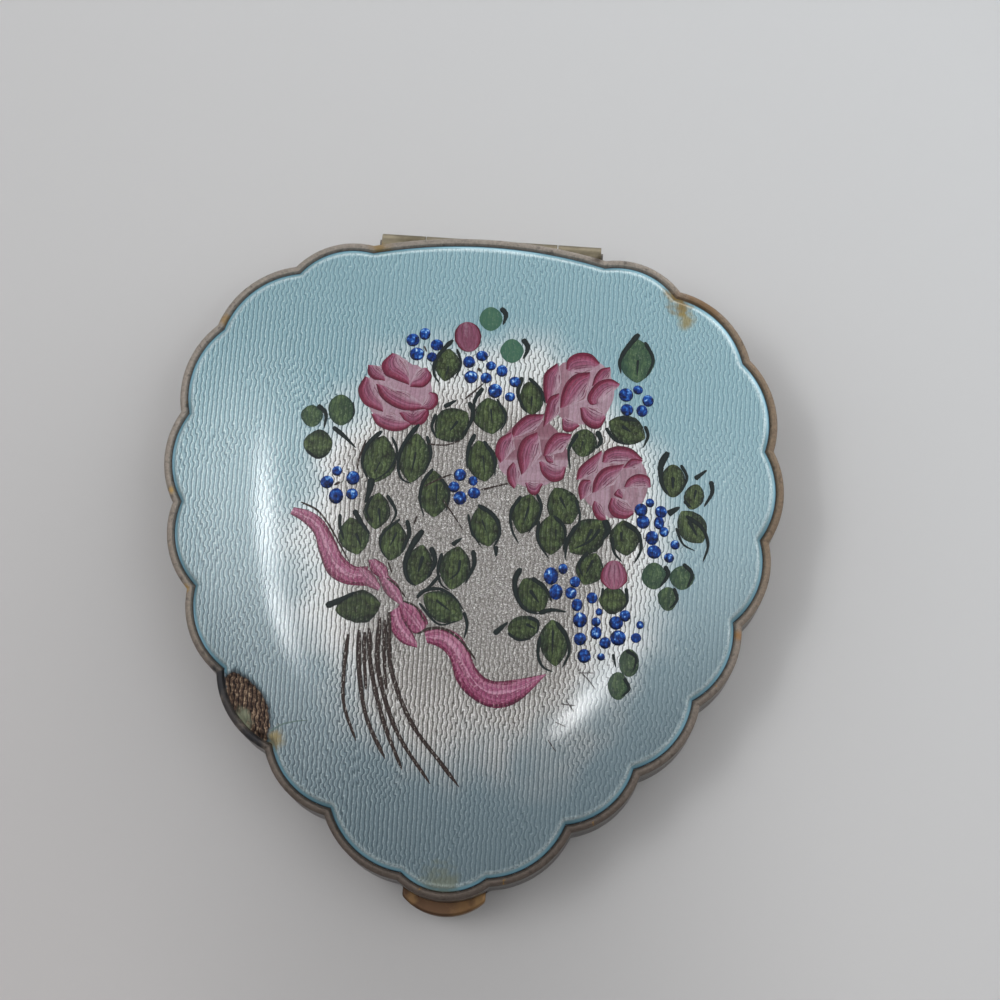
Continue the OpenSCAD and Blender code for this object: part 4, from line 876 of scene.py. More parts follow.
def china_paint(name, stops, streaks, rough, pull=0.5, mottle=0.0, bare=0.0, pale="#808080", bristle=0.3, relief=0.2,
                gloss=0.1, patchy=0.0):
    """Enamel paint put on with a loaded brush: it runs from a dark loaded edge to a pale one, drawn out in
    bristle streaks along the stroke, and the engraved lines show in it. streaks is how many lie across a
    stroke, pull and mottle how far the streaks and the blotches move the colour, bare how much plate shows,
    and pale the colour a stroke with a high tone goes toward. bristle is how dark the separate hairs draw,
    relief how far the cut beneath shades the paint, gloss how glassy it fired, and patchy how unevenly
    thick it lies."""
    material, tree = start_material(name)
    across = add(tree, "ShaderNodeAttribute", attribute_name="across").outputs["Fac"]
    along = add(tree, "ShaderNodeAttribute", attribute_name="along").outputs["Fac"]
    tone = add(tree, "ShaderNodeAttribute", attribute_name="tone").outputs["Fac"]
    seed = add(tree, "ShaderNodeAttribute", attribute_name="seed").outputs["Fac"]
    place = add(tree, "ShaderNodeTexCoord").outputs["Object"]
    in_mm = add(tree, "ShaderNodeVectorMath", {0: place, "Scale": 1000.0}, operation="SCALE")
    lines, grit = engraving(tree, in_mm)
    on_stroke = add(tree, "ShaderNodeCombineXYZ",
                    {"X": add(tree, "ShaderNodeMath", {0: across, 1: streaks}, operation="MULTIPLY"),
                     "Y": add(tree, "ShaderNodeMath", {0: along, 1: 0.35}, operation="MULTIPLY"),
                     "Z": add(tree, "ShaderNodeMath", {0: seed, 1: 40.0}, operation="MULTIPLY")})
    hairs = add(tree, "ShaderNodeTexNoise", {"Vector": on_stroke, "Scale": 1.0, "Detail": 3.0, "Roughness": 0.6})
    load = add(tree, "ShaderNodeMath", {0: hairs.outputs["Fac"], 1: 0.5}, operation="SUBTRACT")
    load = add(tree, "ShaderNodeMath", {0: load, 1: pull, 2: across}, operation="MULTIPLY_ADD")
    load = add(tree, "ShaderNodeMath", {0: grit, 1: mottle, 2: load}, operation="MULTIPLY_ADD")
    paint = ramp(add(tree, "ShaderNodeValToRGB", {"Fac": load}), stops)
    hair = add(tree, "ShaderNodeMapRange", {"Value": hairs.outputs["Fac"], "From Min": 0.52, "From Max": 0.62,
                                            "To Min": 0.0, "To Max": bristle})
    paint = add(tree, "ShaderNodeMix", {"Factor": hair, "A": paint.outputs["Color"], "B": colour(stops[1][1])},
                data_type="RGBA")
    cut = add(tree, "ShaderNodeMath", {0: grit, 1: 0.7, 2: lines}, operation="MULTIPLY_ADD")
    cut = add(tree, "ShaderNodeMath", {0: cut, 1: relief, 2: 1.0}, operation="MULTIPLY_ADD")
    thickness = add(tree, "ShaderNodeTexNoise", {"Vector": in_mm, "Scale": 1.3, "Detail": 4.0, "Roughness": 0.65})
    thickness = add(tree, "ShaderNodeMapRange", {"Value": thickness.outputs["Fac"], "From Min": 0.3, "From Max": 0.7,
                                                 "To Min": 1.0 - patchy, "To Max": 1.0 + patchy})
    cut = add(tree, "ShaderNodeMath", {0: cut, 1: thickness}, operation="MULTIPLY")
    paint = add(tree, "ShaderNodeVectorMath", {0: paint.outputs[2], "Scale": cut}, operation="SCALE")
    shade = add(tree, "ShaderNodeMapRange", {"Value": tone, "From Max": 0.5, "To Min": 0.62, "To Max": 1.0})
    paint = add(tree, "ShaderNodeVectorMath", {0: paint, "Scale": shade}, operation="SCALE")
    paler = add(tree, "ShaderNodeMapRange", {"Value": tone, "From Min": 0.5, "From Max": 1.0, "To Max": 0.75})
    paint = add(tree, "ShaderNodeMix", {"Factor": paler, "A": paint, "B": colour(pale)}, data_type="RGBA").outputs[2]
    crest = add(tree, "ShaderNodeMath", {0: grit, 1: 0.9, 2: lines}, operation="MULTIPLY_ADD")
    crest = add(tree, "ShaderNodeMapRange", {"Value": crest, "From Min": 0.7, "From Max": 1.3,
                                             "To Min": 0.0, "To Max": bare})
    paint = add(tree, "ShaderNodeMix", {"Factor": crest, "A": paint, "B": colour("#b9b4ae")}, data_type="RGBA")
    height = add(tree, "ShaderNodeMath", {0: grit, 1: 0.35, 2: lines}, operation="MULTIPLY_ADD")
    height = add(tree, "ShaderNodeMath", {0: hairs.outputs["Fac"], 1: 1.2, 2: height}, operation="MULTIPLY_ADD")
    bump = add(tree, "ShaderNodeBump", {"Height": height, "Strength": 0.8, "Distance": 0.008 * MM})
    shader = add(tree, "ShaderNodeBsdfPrincipled",
                 {"Base Color": paint.outputs[2], "Roughness": rough, "Specular IOR Level": 0.3, "Normal": bump,
                  "Coat Weight": gloss, "Coat Roughness": 0.12})
    end_material(tree, shader)
    return material


def blue_drops():
    """Thick drops of blue enamel paint: royal blue, with painted shade round the low side and pale licks of painted
    highlight at the top.
    """
    material, tree = start_material("china_paint_blue_drops")
    place = add(tree, "ShaderNodeTexCoord").outputs["Object"]
    in_mm = add(tree, "ShaderNodeVectorMath", {0: place, "Scale": 1000.0}, operation="SCALE")
    lines, grit = engraving(tree, in_mm)
    up = add(tree, "ShaderNodeAttribute", attribute_name="up_side").outputs["Fac"]
    # pale licks of painted highlight, laid by a noise over the lit side
    lick = add(tree, "ShaderNodeTexNoise", {"Vector": in_mm, "Scale": 2.1, "Detail": 1.0})
    lick = add(tree, "ShaderNodeMath", {0: lick.outputs["Fac"], 1: 1.5, 2: -0.75}, operation="MULTIPLY_ADD")
    level = add(tree, "ShaderNodeMath", {0: grit, 1: 0.2, 2: up}, operation="MULTIPLY_ADD")
    level = add(tree, "ShaderNodeMath", {0: lick, 1: level}, operation="ADD")
    level = add(tree, "ShaderNodeMath", {0: lines, 1: 0.1, 2: level}, operation="MULTIPLY_ADD")
    tint = ramp(add(tree, "ShaderNodeValToRGB", {"Fac": level}),
                [(0.08, "#020e2c"), (0.3, "#052461"), (0.52, "#0a3a8a"), (0.7, "#1f63b8"), (0.82, "#6ba0d6"),
                 (0.92, "#c4def2")])
    height = add(tree, "ShaderNodeMath", {0: grit, 1: 0.8, 2: lines}, operation="MULTIPLY_ADD")
    bump = add(tree, "ShaderNodeBump", {"Height": height, "Strength": 0.8, "Distance": 0.015 * MM})
    end_material(tree, add(tree, "ShaderNodeBsdfPrincipled",
                           {"Base Color": tint.outputs["Color"], "Roughness": 0.4, "Specular IOR Level": 0.2,
                            "Normal": bump, "Coat Weight": 0.08, "Coat Roughness": 0.1}))
    return material


def worn_metal(name, base, dark, bare, rough, wear, scale, brush=0.0, marks=()):
    """Thin metal, pressed and plated, with years of handling: a dull base, darker grime in clouds, and the metal
    beneath where it has rubbed through, with fine scratches across it. wear is how much has rubbed through, scale
    the size of the clouds, and brush how deep the brushed lines are."""
    material, tree = start_material(name)
    place = add(tree, "ShaderNodeTexCoord").outputs["Object"]
    cloud = add(tree, "ShaderNodeTexNoise", {"Vector": place, "Scale": scale, "Detail": 4.0, "Roughness": 0.6})
    rubbed = add(tree, "ShaderNodeTexNoise", {"Vector": place, "Scale": scale * 0.45, "Detail": 6.0, "Roughness": 0.7})
    fine = add(tree, "ShaderNodeTexNoise", {"Vector": place, "Scale": 2600.0, "Detail": 3.0})
    tint = ramp(add(tree, "ShaderNodeValToRGB", {"Fac": cloud.outputs["Fac"]}), [(0.30, dark), (0.58, base)])
    worn = add(tree, "ShaderNodeMapRange", {"Value": rubbed.outputs["Fac"], "From Min": 1.0 - wear,
                                            "From Max": 1.06 - wear})
    tint = add(tree, "ShaderNodeMix", {"Factor": worn, "A": tint.outputs["Color"], "B": colour(bare)}, data_type="RGBA")
    if marks:
        in_mm = add(tree, "ShaderNodeVectorMath", {0: place, "Scale": 1000.0}, operation="SCALE")
        tint = stained(tree, in_mm, tint.outputs[2], marks)
    else:
        tint = tint.outputs[2]
    stretch = add(tree, "ShaderNodeMapping", {"Vector": place, "Scale": (9000.0, 320.0, 9000.0)})
    hairs = add(tree, "ShaderNodeTexNoise", {"Vector": stretch, "Scale": 1.0, "Detail": 2.0})
    gloss = add(tree, "ShaderNodeMapRange", {"Value": cloud.outputs["Fac"], "To Min": rough + 0.14,
                                             "To Max": rough - 0.10})
    height = add(tree, "ShaderNodeMath", {0: hairs.outputs["Fac"], 1: brush, 2: fine.outputs["Fac"]},
                 operation="MULTIPLY_ADD")
    bump = add(tree, "ShaderNodeBump", {"Height": height, "Strength": 0.5, "Distance": 0.01 * MM})
    shader = add(tree, "ShaderNodeBsdfPrincipled",
                 {"Base Color": tint, "Metallic": 1.0, "Roughness": gloss, "Normal": bump})
    end_material(tree, shader)
    return material


# Marks on the plating: place in the picture, reach in millimetres, colour and strength
PLATING_MARKS = [((704, 300), 3.4, "#7a5d3d", 0.75), ((737, 635), 0.8, "#9a7040", 0.8),
                 ((171, 490), 0.5, "#b8944e", 0.8), ((185, 587), 0.6, "#b8944e", 0.8),
                 ((219, 680), 2.6, "#26272b", 0.95), ((228, 712), 2.6, "#2b2b2e", 0.8),
                 ((248, 742), 2.4, "#26272b", 0.95), ((378, 247), 1.5, "#8a7040", 0.85),
                 ((598, 256), 0.9, "#33291e", 0.85), ((225, 320), 1.0, "#9a7a45", 0.7)]
CREST_Z, SEAM_Z = (8.7, 9.2), 5.07      # where the wall turns into the rim's crest, and the parting line


def worn_plating():
    """Pewter-grey plating on pressed brass, dulled by handling: matt and even, painted palest toward the hinge and
    nearly black toward the catch as painted light and shade, browner on the right with patina, and with brass
    showing through in small rubbed spots."""
    material, tree = start_material("pewter_grey_plating_worn")
    place = add(tree, "ShaderNodeTexCoord").outputs["Object"]
    in_mm = add(tree, "ShaderNodeVectorMath", {0: place, "Scale": 1000.0}, operation="SCALE")
    xyz = add(tree, "ShaderNodeSeparateXYZ", {0: in_mm})
    cloud = add(tree, "ShaderNodeTexNoise", {"Vector": in_mm, "Scale": 0.22, "Detail": 3.0})
    # painted light and shade: the colour runs from near black toward the catch to palest toward the hinge
    along = add(tree, "ShaderNodeMath", {0: cloud.outputs["Fac"], 1: 16.0, 2: xyz.outputs["Y"]},
                operation="MULTIPLY_ADD")
    along = add(tree, "ShaderNodeMapRange", {"Value": along, "From Min": -16.0, "From Max": 36.0})
    tint = ramp(add(tree, "ShaderNodeValToRGB", {"Fac": along}),
                [(0.0, "#62574f"), (0.35, "#8e8378"), (0.7, "#9b9187"), (1.0, "#958c82")])
    right = add(tree, "ShaderNodeMath", {0: cloud.outputs["Fac"], 1: 14.0, 2: xyz.outputs["X"]},
                operation="MULTIPLY_ADD")
    right = add(tree, "ShaderNodeMapRange", {"Value": right, "From Min": 22.0, "From Max": 32.0, "To Max": 0.75})
    upper = add(tree, "ShaderNodeMapRange", {"Value": xyz.outputs["Y"], "From Min": -6.0, "From Max": 4.0})
    right = add(tree, "ShaderNodeMath", {0: right, 1: upper}, operation="MULTIPLY")
    tint = add(tree, "ShaderNodeMix", {"Factor": right, "A": tint.outputs["Color"], "B": colour("#7b654c")},
               data_type="RGBA")
    # the crest of the rim is rubbed matt and holds the stains; the walls below keep a dull metal shine, with
    # fine scratches along them, and their colour darkens beside the parting line
    crest = add(tree, "ShaderNodeMapRange", {"Value": xyz.outputs["Z"], "From Min": CREST_Z[0],
                                             "From Max": CREST_Z[1]}, interpolation_type="SMOOTHSTEP").outputs[0]
    wall_tone = add(tree, "ShaderNodeMapRange", {"Value": crest, "To Min": 0.6, "To Max": 1.0})
    on_crest = add(tree, "ShaderNodeMapRange", {"Value": crest, "To Min": 0.15, "To Max": 0.85})
    rubbed = add(tree, "ShaderNodeTexNoise", {"Vector": in_mm, "Scale": 0.9, "Detail": 6.0, "Roughness": 0.7})
    rubbed = add(tree, "ShaderNodeMapRange", {"Value": rubbed.outputs["Fac"], "From Min": 0.66, "From Max": 0.70,
                                              "To Max": on_crest})
    tint = add(tree, "ShaderNodeVectorMath", {0: tint.outputs[2], "Scale": wall_tone}, operation="SCALE")
    tint = add(tree, "ShaderNodeMix", {"Factor": rubbed, "A": tint, "B": colour("#9a7437")}, data_type="RGBA")
    grime = add(tree, "ShaderNodeTexNoise", {"Vector": in_mm, "Scale": 1.6, "Detail": 5.0, "Roughness": 0.65})
    grime = add(tree, "ShaderNodeMapRange", {"Value": grime.outputs["Fac"], "From Min": 0.56, "From Max": 0.68,
                                             "To Max": on_crest})
    grime = add(tree, "ShaderNodeMath", {0: grime, 1: 0.7}, operation="MULTIPLY")
    tint = add(tree, "ShaderNodeMix", {"Factor": grime, "A": tint.outputs[2], "B": colour("#3c3530")}, data_type="RGBA")
    fine = add(tree, "ShaderNodeTexNoise", {"Vector": in_mm, "Scale": 3.5, "Detail": 4.0, "Roughness": 0.7})
    swing = add(tree, "ShaderNodeMapRange", {"Value": crest, "To Min": 0.35, "To Max": 1.0})
    speckle = add(tree, "ShaderNodeMath", {0: fine.outputs["Fac"], 1: 0.5}, operation="SUBTRACT")
    speckle = add(tree, "ShaderNodeMath", {0: speckle, 1: 1.3}, operation="MULTIPLY")
    speckle = add(tree, "ShaderNodeMath", {0: speckle, 1: swing, 2: 1.0}, operation="MULTIPLY_ADD")
    tint = add(tree, "ShaderNodeVectorMath", {0: tint.outputs[2], "Scale": speckle}, operation="SCALE")
    off_seam = add(tree, "ShaderNodeMath", {0: xyz.outputs["Z"], 1: SEAM_Z}, operation="SUBTRACT")
    off_seam = add(tree, "ShaderNodeMath", {0: off_seam}, operation="ABSOLUTE")
    seam_dark = add(tree, "ShaderNodeMapRange", {"Value": off_seam, "From Min": 0.15, "From Max": 0.9,
                                            "To Min": 0.55, "To Max": 0.0}, interpolation_type="SMOOTHSTEP")
    tint = add(tree, "ShaderNodeMix", {"Factor": seam_dark, "A": tint, "B": colour("#3a332d")}, data_type="RGBA")
    marked = stained(tree, in_mm, tint.outputs[2], PLATING_MARKS)
    hold = add(tree, "ShaderNodeMapRange", {"Value": crest, "To Min": 0.12, "To Max": 1.0})
    tint = add(tree, "ShaderNodeMix", {"Factor": hold, "A": tint.outputs[2], "B": marked}, data_type="RGBA")
    stretch = add(tree, "ShaderNodeMapping", {"Vector": in_mm, "Scale": (0.6, 0.6, 14.0)})
    scratches = add(tree, "ShaderNodeTexNoise", {"Vector": stretch, "Scale": 1.0, "Detail": 3.0, "Roughness": 0.7})
    height = add(tree, "ShaderNodeMix", {"Factor": crest, "A": scratches.outputs["Fac"], "B": fine.outputs["Fac"]},
                 data_type="FLOAT")
    bump = add(tree, "ShaderNodeBump", {"Height": height, "Strength": 0.7, "Distance": 0.03 * MM})
    metal = add(tree, "ShaderNodeMapRange", {"Value": crest, "To Min": 0.92, "To Max": 0.5})
    gloss = add(tree, "ShaderNodeMapRange", {"Value": crest, "To Min": 0.33, "To Max": 0.6})
    end_material(tree, add(tree, "ShaderNodeBsdfPrincipled", {"Base Color": tint.outputs[2], "Metallic": metal,
                                                              "Roughness": gloss, "Normal": bump}))
    return material


def engine_turned_plate():
    """Brass plate, silvered, with wavy engraved lines every 0.45 mm: bright, with a fine shimmer."""
    material, tree = start_material("engine_turned_plate_silvered")
    place = add(tree, "ShaderNodeTexCoord").outputs["Object"]
    waves = add(tree, "ShaderNodeTexWave", {"Vector": place, "Scale": 1 / (LINE_STEP * MM * 20),
                                            "Distortion": 2.0, "Detail": 1.0},
                wave_type="BANDS", bands_direction="X")
    tint = ramp(add(tree, "ShaderNodeValToRGB", {"Fac": waves.outputs["Fac"]}), [(0.0, "#8d8c88"), (1.0, "#d9d8d4")])
    bump = add(tree, "ShaderNodeBump", {"Height": waves.outputs["Fac"], "Strength": 0.8, "Distance": 0.03 * MM})
    end_material(tree, add(tree, "ShaderNodeBsdfPrincipled", {"Base Color": tint.outputs["Color"], "Metallic": 1.0,
                                                              "Roughness": 0.28, "Normal": bump}))
    return material


def silvered_mirror():
    """Float glass silvered behind: a clean reflection, with a little dust and foxing."""
    material, tree = start_material("mirror_glass_silvered")
    place = add(tree, "ShaderNodeTexCoord").outputs["Object"]
    spots = add(tree, "ShaderNodeTexNoise", {"Vector": place, "Scale": 420.0, "Detail": 3.0})
    tint = ramp(add(tree, "ShaderNodeValToRGB", {"Fac": spots.outputs["Fac"]}), [(0.17, "#a3a49c"), (0.26, "#dfe5e4")])
    dust = add(tree, "ShaderNodeTexNoise", {"Vector": place, "Scale": 1500.0, "Detail": 4.0})
    rough = add(tree, "ShaderNodeMapRange", {"Value": dust.outputs["Fac"], "From Min": 0.5, "From Max": 0.8,
                                             "To Min": 0.02, "To Max": 0.12})
    end_material(tree, add(tree, "ShaderNodeBsdfPrincipled",
                           {"Base Color": tint.outputs["Color"], "Metallic": 1.0, "Roughness": rough,
                            "Coat Weight": 1.0, "Coat Roughness": 0.02}))
    return material


def grey_board():
    """Plain pressed board, cut and left bare: matt, fibrous, a little uneven in colour."""
    material, tree = start_material("grey_board_cut")
    place = add(tree, "ShaderNodeTexCoord").outputs["Object"]
    fibre = add(tree, "ShaderNodeTexNoise", {"Vector": place, "Scale": 1800.0, "Detail": 5.0, "Roughness": 0.7})
    tint = ramp(add(tree, "ShaderNodeValToRGB", {"Fac": fibre.outputs["Fac"]}), [(0.3, "#7d6a4c"), (0.7, "#a08b69")])
    bump = add(tree, "ShaderNodeBump", {"Height": fibre.outputs["Fac"], "Strength": 0.6, "Distance": 0.03 * MM})
    end_material(tree, add(tree, "ShaderNodeBsdfPrincipled", {"Base Color": tint.outputs["Color"], "Roughness": 0.9,
                                                              "Normal": bump}))
    return material


def velour():
    """Cotton velour, cut pile about 0.3 mm deep: soft pink with a pale nap where it catches the light,
    and faint powder worked into it."""
    material, tree = start_material("cotton_velour_pile")
    place = add(tree, "ShaderNodeTexCoord").outputs["Object"]
    pile = add(tree, "ShaderNodeTexNoise", {"Vector": place, "Scale": 3200.0, "Detail": 3.0, "Roughness": 0.7})
    nap = add(tree, "ShaderNodeTexNoise", {"Vector": place, "Scale": 160.0, "Detail": 3.0})
    level = add(tree, "ShaderNodeMath", {0: nap.outputs["Fac"], 1: 0.6, 2: pile.outputs["Fac"]},
                operation="MULTIPLY_ADD")
    tint = ramp(add(tree, "ShaderNodeValToRGB", {"Fac": level}),
                [(0.45, "#b98a7d"), (0.75, "#dfb9ab"), (1.0, "#f2dacd")])
    bump = add(tree, "ShaderNodeBump", {"Height": pile.outputs["Fac"], "Strength": 0.9, "Distance": 0.15 * MM})
    end_material(tree, add(tree, "ShaderNodeBsdfPrincipled",
                           {"Base Color": tint.outputs["Color"], "Roughness": 0.95, "Normal": bump, "Sheen Weight": 0.6,
                            "Sheen Roughness": 0.4, "Sheen Tint": colour("#fbeae2")}))
    return material


def satin():
    """Satin ribbon, woven: long floats along its length give a soft sheen."""
    material, tree = start_material("satin_ribbon_woven")
    place = add(tree, "ShaderNodeTexCoord").outputs["Object"]
    stretch = add(tree, "ShaderNodeMapping", {"Vector": place, "Scale": (600.0, 9000.0, 600.0)})
    floats = add(tree, "ShaderNodeTexNoise", {"Vector": stretch, "Scale": 1.0, "Detail": 2.0})
    tint = ramp(add(tree, "ShaderNodeValToRGB", {"Fac": floats.outputs["Fac"]}), [(0.3, "#b9687a"), (0.7, "#e2a0ab")])
    bump = add(tree, "ShaderNodeBump", {"Height": floats.outputs["Fac"], "Strength": 0.5, "Distance": 0.03 * MM})
    end_material(tree, add(tree, "ShaderNodeBsdfPrincipled",
                           {"Base Color": tint.outputs["Color"], "Roughness": 0.38, "Anisotropic": 0.6, "Normal": bump,
                            "Sheen Weight": 0.3, "Sheen Roughness": 0.3}))
    return material


random.seed(11)
enamel = make_enamel()
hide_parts("enamel_layer")
finish_piece(enamel, fired_enamel(), "lid")

# Rose paint: deep crimson at the loaded edge, running out through mauve to a chalky pink
rose_paint = china_paint("china_paint_rose",
                         [(0.0, "#4f0c25"), (0.15, "#6e1b37"), (0.23, "#8d4059"), (0.34, "#9f647e"),
                          (0.46, "#8d4c65"), (0.6, "#a27b8c"), (0.8, "#ad929d"), (1.0, "#b29aa4")],
                         streaks=16.0, rough=0.4, mottle=0.03, pale="#5d4e62", bristle=0.65, relief=0.12, patchy=0.12)
# The same paint where single hairs of the brush drew it out: thin and darker
hair_paint = china_paint("china_paint_rose_hairs", [(0.0, "#9c5b76"), (0.5, "#874061"), (1.0, "#9c5b76")],
                         streaks=3.0, rough=0.45)
# Leaf paint: olive green, thin enough for the plate to show, darker at the sides and along the vein
leaf_paint = china_paint("china_paint_leaf",
                         [(0.0, "#16211a"), (0.1, "#25331f"), (0.24, "#3a4829"), (0.42, "#455330"), (0.5, "#35422a"),
                          (0.6, "#48562f"), (0.78, "#3a4829"), (0.9, "#25331f"), (1.0, "#16211a")],
                         streaks=6.0, rough=0.5, pull=0.42, mottle=0.10, bare=0.15, pale="#3f6f5c", bristle=0.5,
                         relief=0.4, patchy=0.85)
# Outline paint: blue-black green, matt and full
dark_paint = china_paint("china_paint_ink_green", [(0.0, "#131d1f"), (0.5, "#1d2d2c"), (1.0, "#131d1f")],
                         streaks=4.0, rough=0.5, pull=0.4, gloss=0.0)
# Ribbon paint: magenta in long silky streaks, with the plate glinting through
ribbon_paint = china_paint("china_paint_ribbon",
                           [(0.0, "#4c102c"), (0.13, "#731b43"), (0.26, "#a85f80"), (0.38, "#813056"),
                            (0.52, "#c590a6"), (0.66, "#93436a"), (0.82, "#b0748c"), (0.90, "#731b43"),
                            (1.0, "#4c102c")],
                           streaks=9.0, rough=0.3, pull=0.6, mottle=0.08, bare=0.45, bristle=0.5, relief=0.28)
# Twig and stem paint: thin brown, broken by the crests of the cut
twig_paint = china_paint("china_paint_brown", [(0.0, "#33241f"), (0.5, "#463530"), (1.0, "#33241f")],
                         streaks=4.0, rough=0.5, pull=0.3, mottle=0.2, bare=0.8, gloss=0.0)
# Dirt in the fine crack beside the chip: a grey-green thread
crack_stain = china_paint("stain_in_a_crack", [(0.0, "#7b9490"), (1.0, "#7b9490")], streaks=1.0, rough=0.4, gloss=0.0)
blue_paint = blue_drops()

roses, hairs = Brush(), []
for (x, y, w, h), petals in ROSES:
    roses.leaf(x, y, w * 0.9, h * 0.91, 0, 0, 0.45, 0.5, load=lambda share: 0.75 + 0 * share)
    for k, (edge, toward) in enumerate(petals):
        roses.petal(edge, toward, 1 + k)
        hairs += hair_strokes(edge, toward)
for x, y, w, h, tilt, tone in BUDS:
    hairs += [([(x + side, y - h * 0.34), (x + side * 1.5, y), (x + side, y + h * 0.34)], 1.4)
              for side in (-7, -3.5, 0.5, 4, 7.5)]
    roses.leaf(x, y, w, h, tilt, 10, tone, 0.5, load=lambda share: 0.06 + 2.0 * share * (1 - share))
finish_piece(roses.make("painted_roses"), rose_paint, "lid")
finish_piece(lines_on_lid("painted_rose_hairs", hairs, 11, hair_paint, 0.8), hair_paint, "lid")

leaves = Brush()
for k, (x, y, w, h, tilt, tone) in enumerate(LEAVES):
    leaves.leaf(x, y, w, h, tilt, k % 3, tone, ROUND_DAB if w * h < SMALL_LEAF else POINTED)
finish_piece(leaves.make("painted_leaves"), leaf_paint, "lid")

ribbon = Brush()
for k, (one, other, tone) in enumerate(RIBBON):
    ribbon.band(one, other, k, tone)
finish_piece(ribbon.make("painted_ribbon"), ribbon_paint, "lid")

for name, lines, coat, paint, swell in (("painted_outlines", OUTLINES + VEINS, 3, dark_paint, 0.7),
                                        ("painted_twigs", TWIGS + STEMS + SCRATCHES, 7, twig_paint, 0.25),
                                        ("enamel_crack", CRACK, 0, crack_stain, 0.5)):
    finish_piece(lines_on_lid(name, lines, coat, paint, swell), paint, "lid")
finish_piece(beads_on_lid("painted_forget_me_nots", DOTS, blue_paint), blue_paint, "lid")

# The thumb piece: a curved lip with eased edges, with the neck and shoulders that hold it in the wall
THUMB_HALF_W, THUMB_OUT, THUMB_H, THUMB_CORNER, LIP_R, LIP_EASE = 4.0, 1.3, 2.1, 0.6, 5.6, 0.28
WALL_T, SHOULDER_HALF_W, SHOULDER_T, SHOULDER_LOW_Z, SHOULDER_EASE = 0.55, 4.9, 0.6, 2.0, 0.08
NECK_HALF_W, NECK_DROP, LAP = 3.9, 0.52, 0.1


def make_thumb():
    """Lip, neck and shoulders, each a plan raised between two heights with eased edges."""
    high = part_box("thumb_piece")[1]
    top, back = high.z / MM, high.y / MM
    (_, cy), lobe_r, _ = lobes()[-1]
    inner, lip_y = lobe_r - WALL_T / 2, cy - lobe_r - THUMB_OUT + LIP_R
    centre_x, centre_r = THUMB_HALF_W - THUMB_CORNER, LIP_R - THUMB_CORNER
    centre_y = -math.sqrt(centre_r ** 2 - centre_x ** 2)
    meets = math.atan2(centre_x, -centre_y)
    front = [(LIP_R * math.sin(a), lip_y - LIP_R * math.cos(a)) for a in np.linspace(-meets, meets, 33)]
    right = [(centre_x + THUMB_CORNER * math.sin(a), lip_y + centre_y - THUMB_CORNER * math.cos(a))
             for a in np.linspace(meets, math.pi / 2, 9)[1:]]
    left = [(-x, y) for x, y in reversed(right)]
    reach = math.asin(THUMB_HALF_W / inner)
    behind = [(inner * math.sin(a), cy - inner * math.cos(a)) for a in np.linspace(reach, -reach, 25)]
    neck_top, face = top - NECK_DROP, back - SHOULDER_T
    mouth = cy - math.sqrt(inner ** 2 - (THUMB_HALF_W - 0.3) ** 2) - LAP
    neck = [(-NECK_HALF_W, mouth), (NECK_HALF_W, mouth), (NECK_HALF_W, face + LAP), (-NECK_HALF_W, face + LAP)]
    shoulders = [(-SHOULDER_HALF_W, face), (SHOULDER_HALF_W, face), (SHOULDER_HALF_W, back),
                 (-SHOULDER_HALF_W, back)]
    shapes = [(left + front + right + behind, top - THUMB_H, top, LIP_EASE), (neck, top - THUMB_H, neck_top, 0.0),
              (shoulders, SHOULDER_LOW_Z, neck_top, SHOULDER_EASE)]
    points, faces = [], []
    for plan, z0, z1, ease_w in shapes:
        plan = np.array(plan)
        ahead, behind_it = np.roll(plan, -1, axis=0), np.roll(plan, 1, axis=0)
        along = ahead - behind_it
        inward = np.column_stack([-along[:, 1], along[:, 0]]) / np.linalg.norm(along, axis=1)[:, None]
        rings = [(ease_w * (1 - math.sin(a)), z0 + ease_w * (1 - math.cos(a))) for a in np.linspace(0, math.pi / 2, 5)]
        rings += [(ease_w * (1 - math.cos(a)), z1 - ease_w * (1 - math.sin(a))) for a in np.linspace(0, math.pi / 2, 5)]
        n, start = len(plan), len(points)
        for inset, z in rings:
            points += [(p[0], p[1], z) for p in plan + inward * inset]
        for j in range(len(rings) - 1):
            for k in range(n):
                a, b = start + j * n + k, start + j * n + (k + 1) % n
                faces.append((a, b, b + n, a + n))
        faces.append(tuple(range(start + n - 1, start - 1, -1)))
        faces.append(tuple(range(start + (len(rings) - 1) * n, start + len(rings) * n)))
    piece = new_mesh("thumb_lip", np.array(points) * MM, faces, smooth=False)
    for face in piece.data.polygons:
        face.use_smooth = len(face.vertices) == 4 and abs(face.normal.z) < 0.99
    return piece


# The puff: velour, turned and gathered at its seam, with its satin band
SIFTER_Z, PUFF_T, SEAM_SHARE, GATHERS = 3.45, 3.0, 0.34, 26
BAND_HALF_W, BAND_T, BAND_OFF = 4.45, 0.22, 0.09
puff_low, puff_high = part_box("powder_puff")
puff_x, puff_y = (puff_low.x + puff_high.x) / 2 / MM, (puff_low.y + puff_high.y) / 2 / MM
puff_r = (puff_high.x - puff_low.x) / 2 / MM


def puff_height(r, turn):
    """Height of the puff's top over its seam: a full crown, drawn down by small gathers near the seam."""
    share = np.clip(r / puff_r, 0, 1)
    crown = PUFF_T * (1 - SEAM_SHARE) * (1 - share ** 2.6) ** (1 / 2.6)
    gather = 0.12 * np.sin(GATHERS * turn) * np.exp(-((share - 0.93) / 0.06) ** 2)
    return crown * (1 + gather) - 0.05


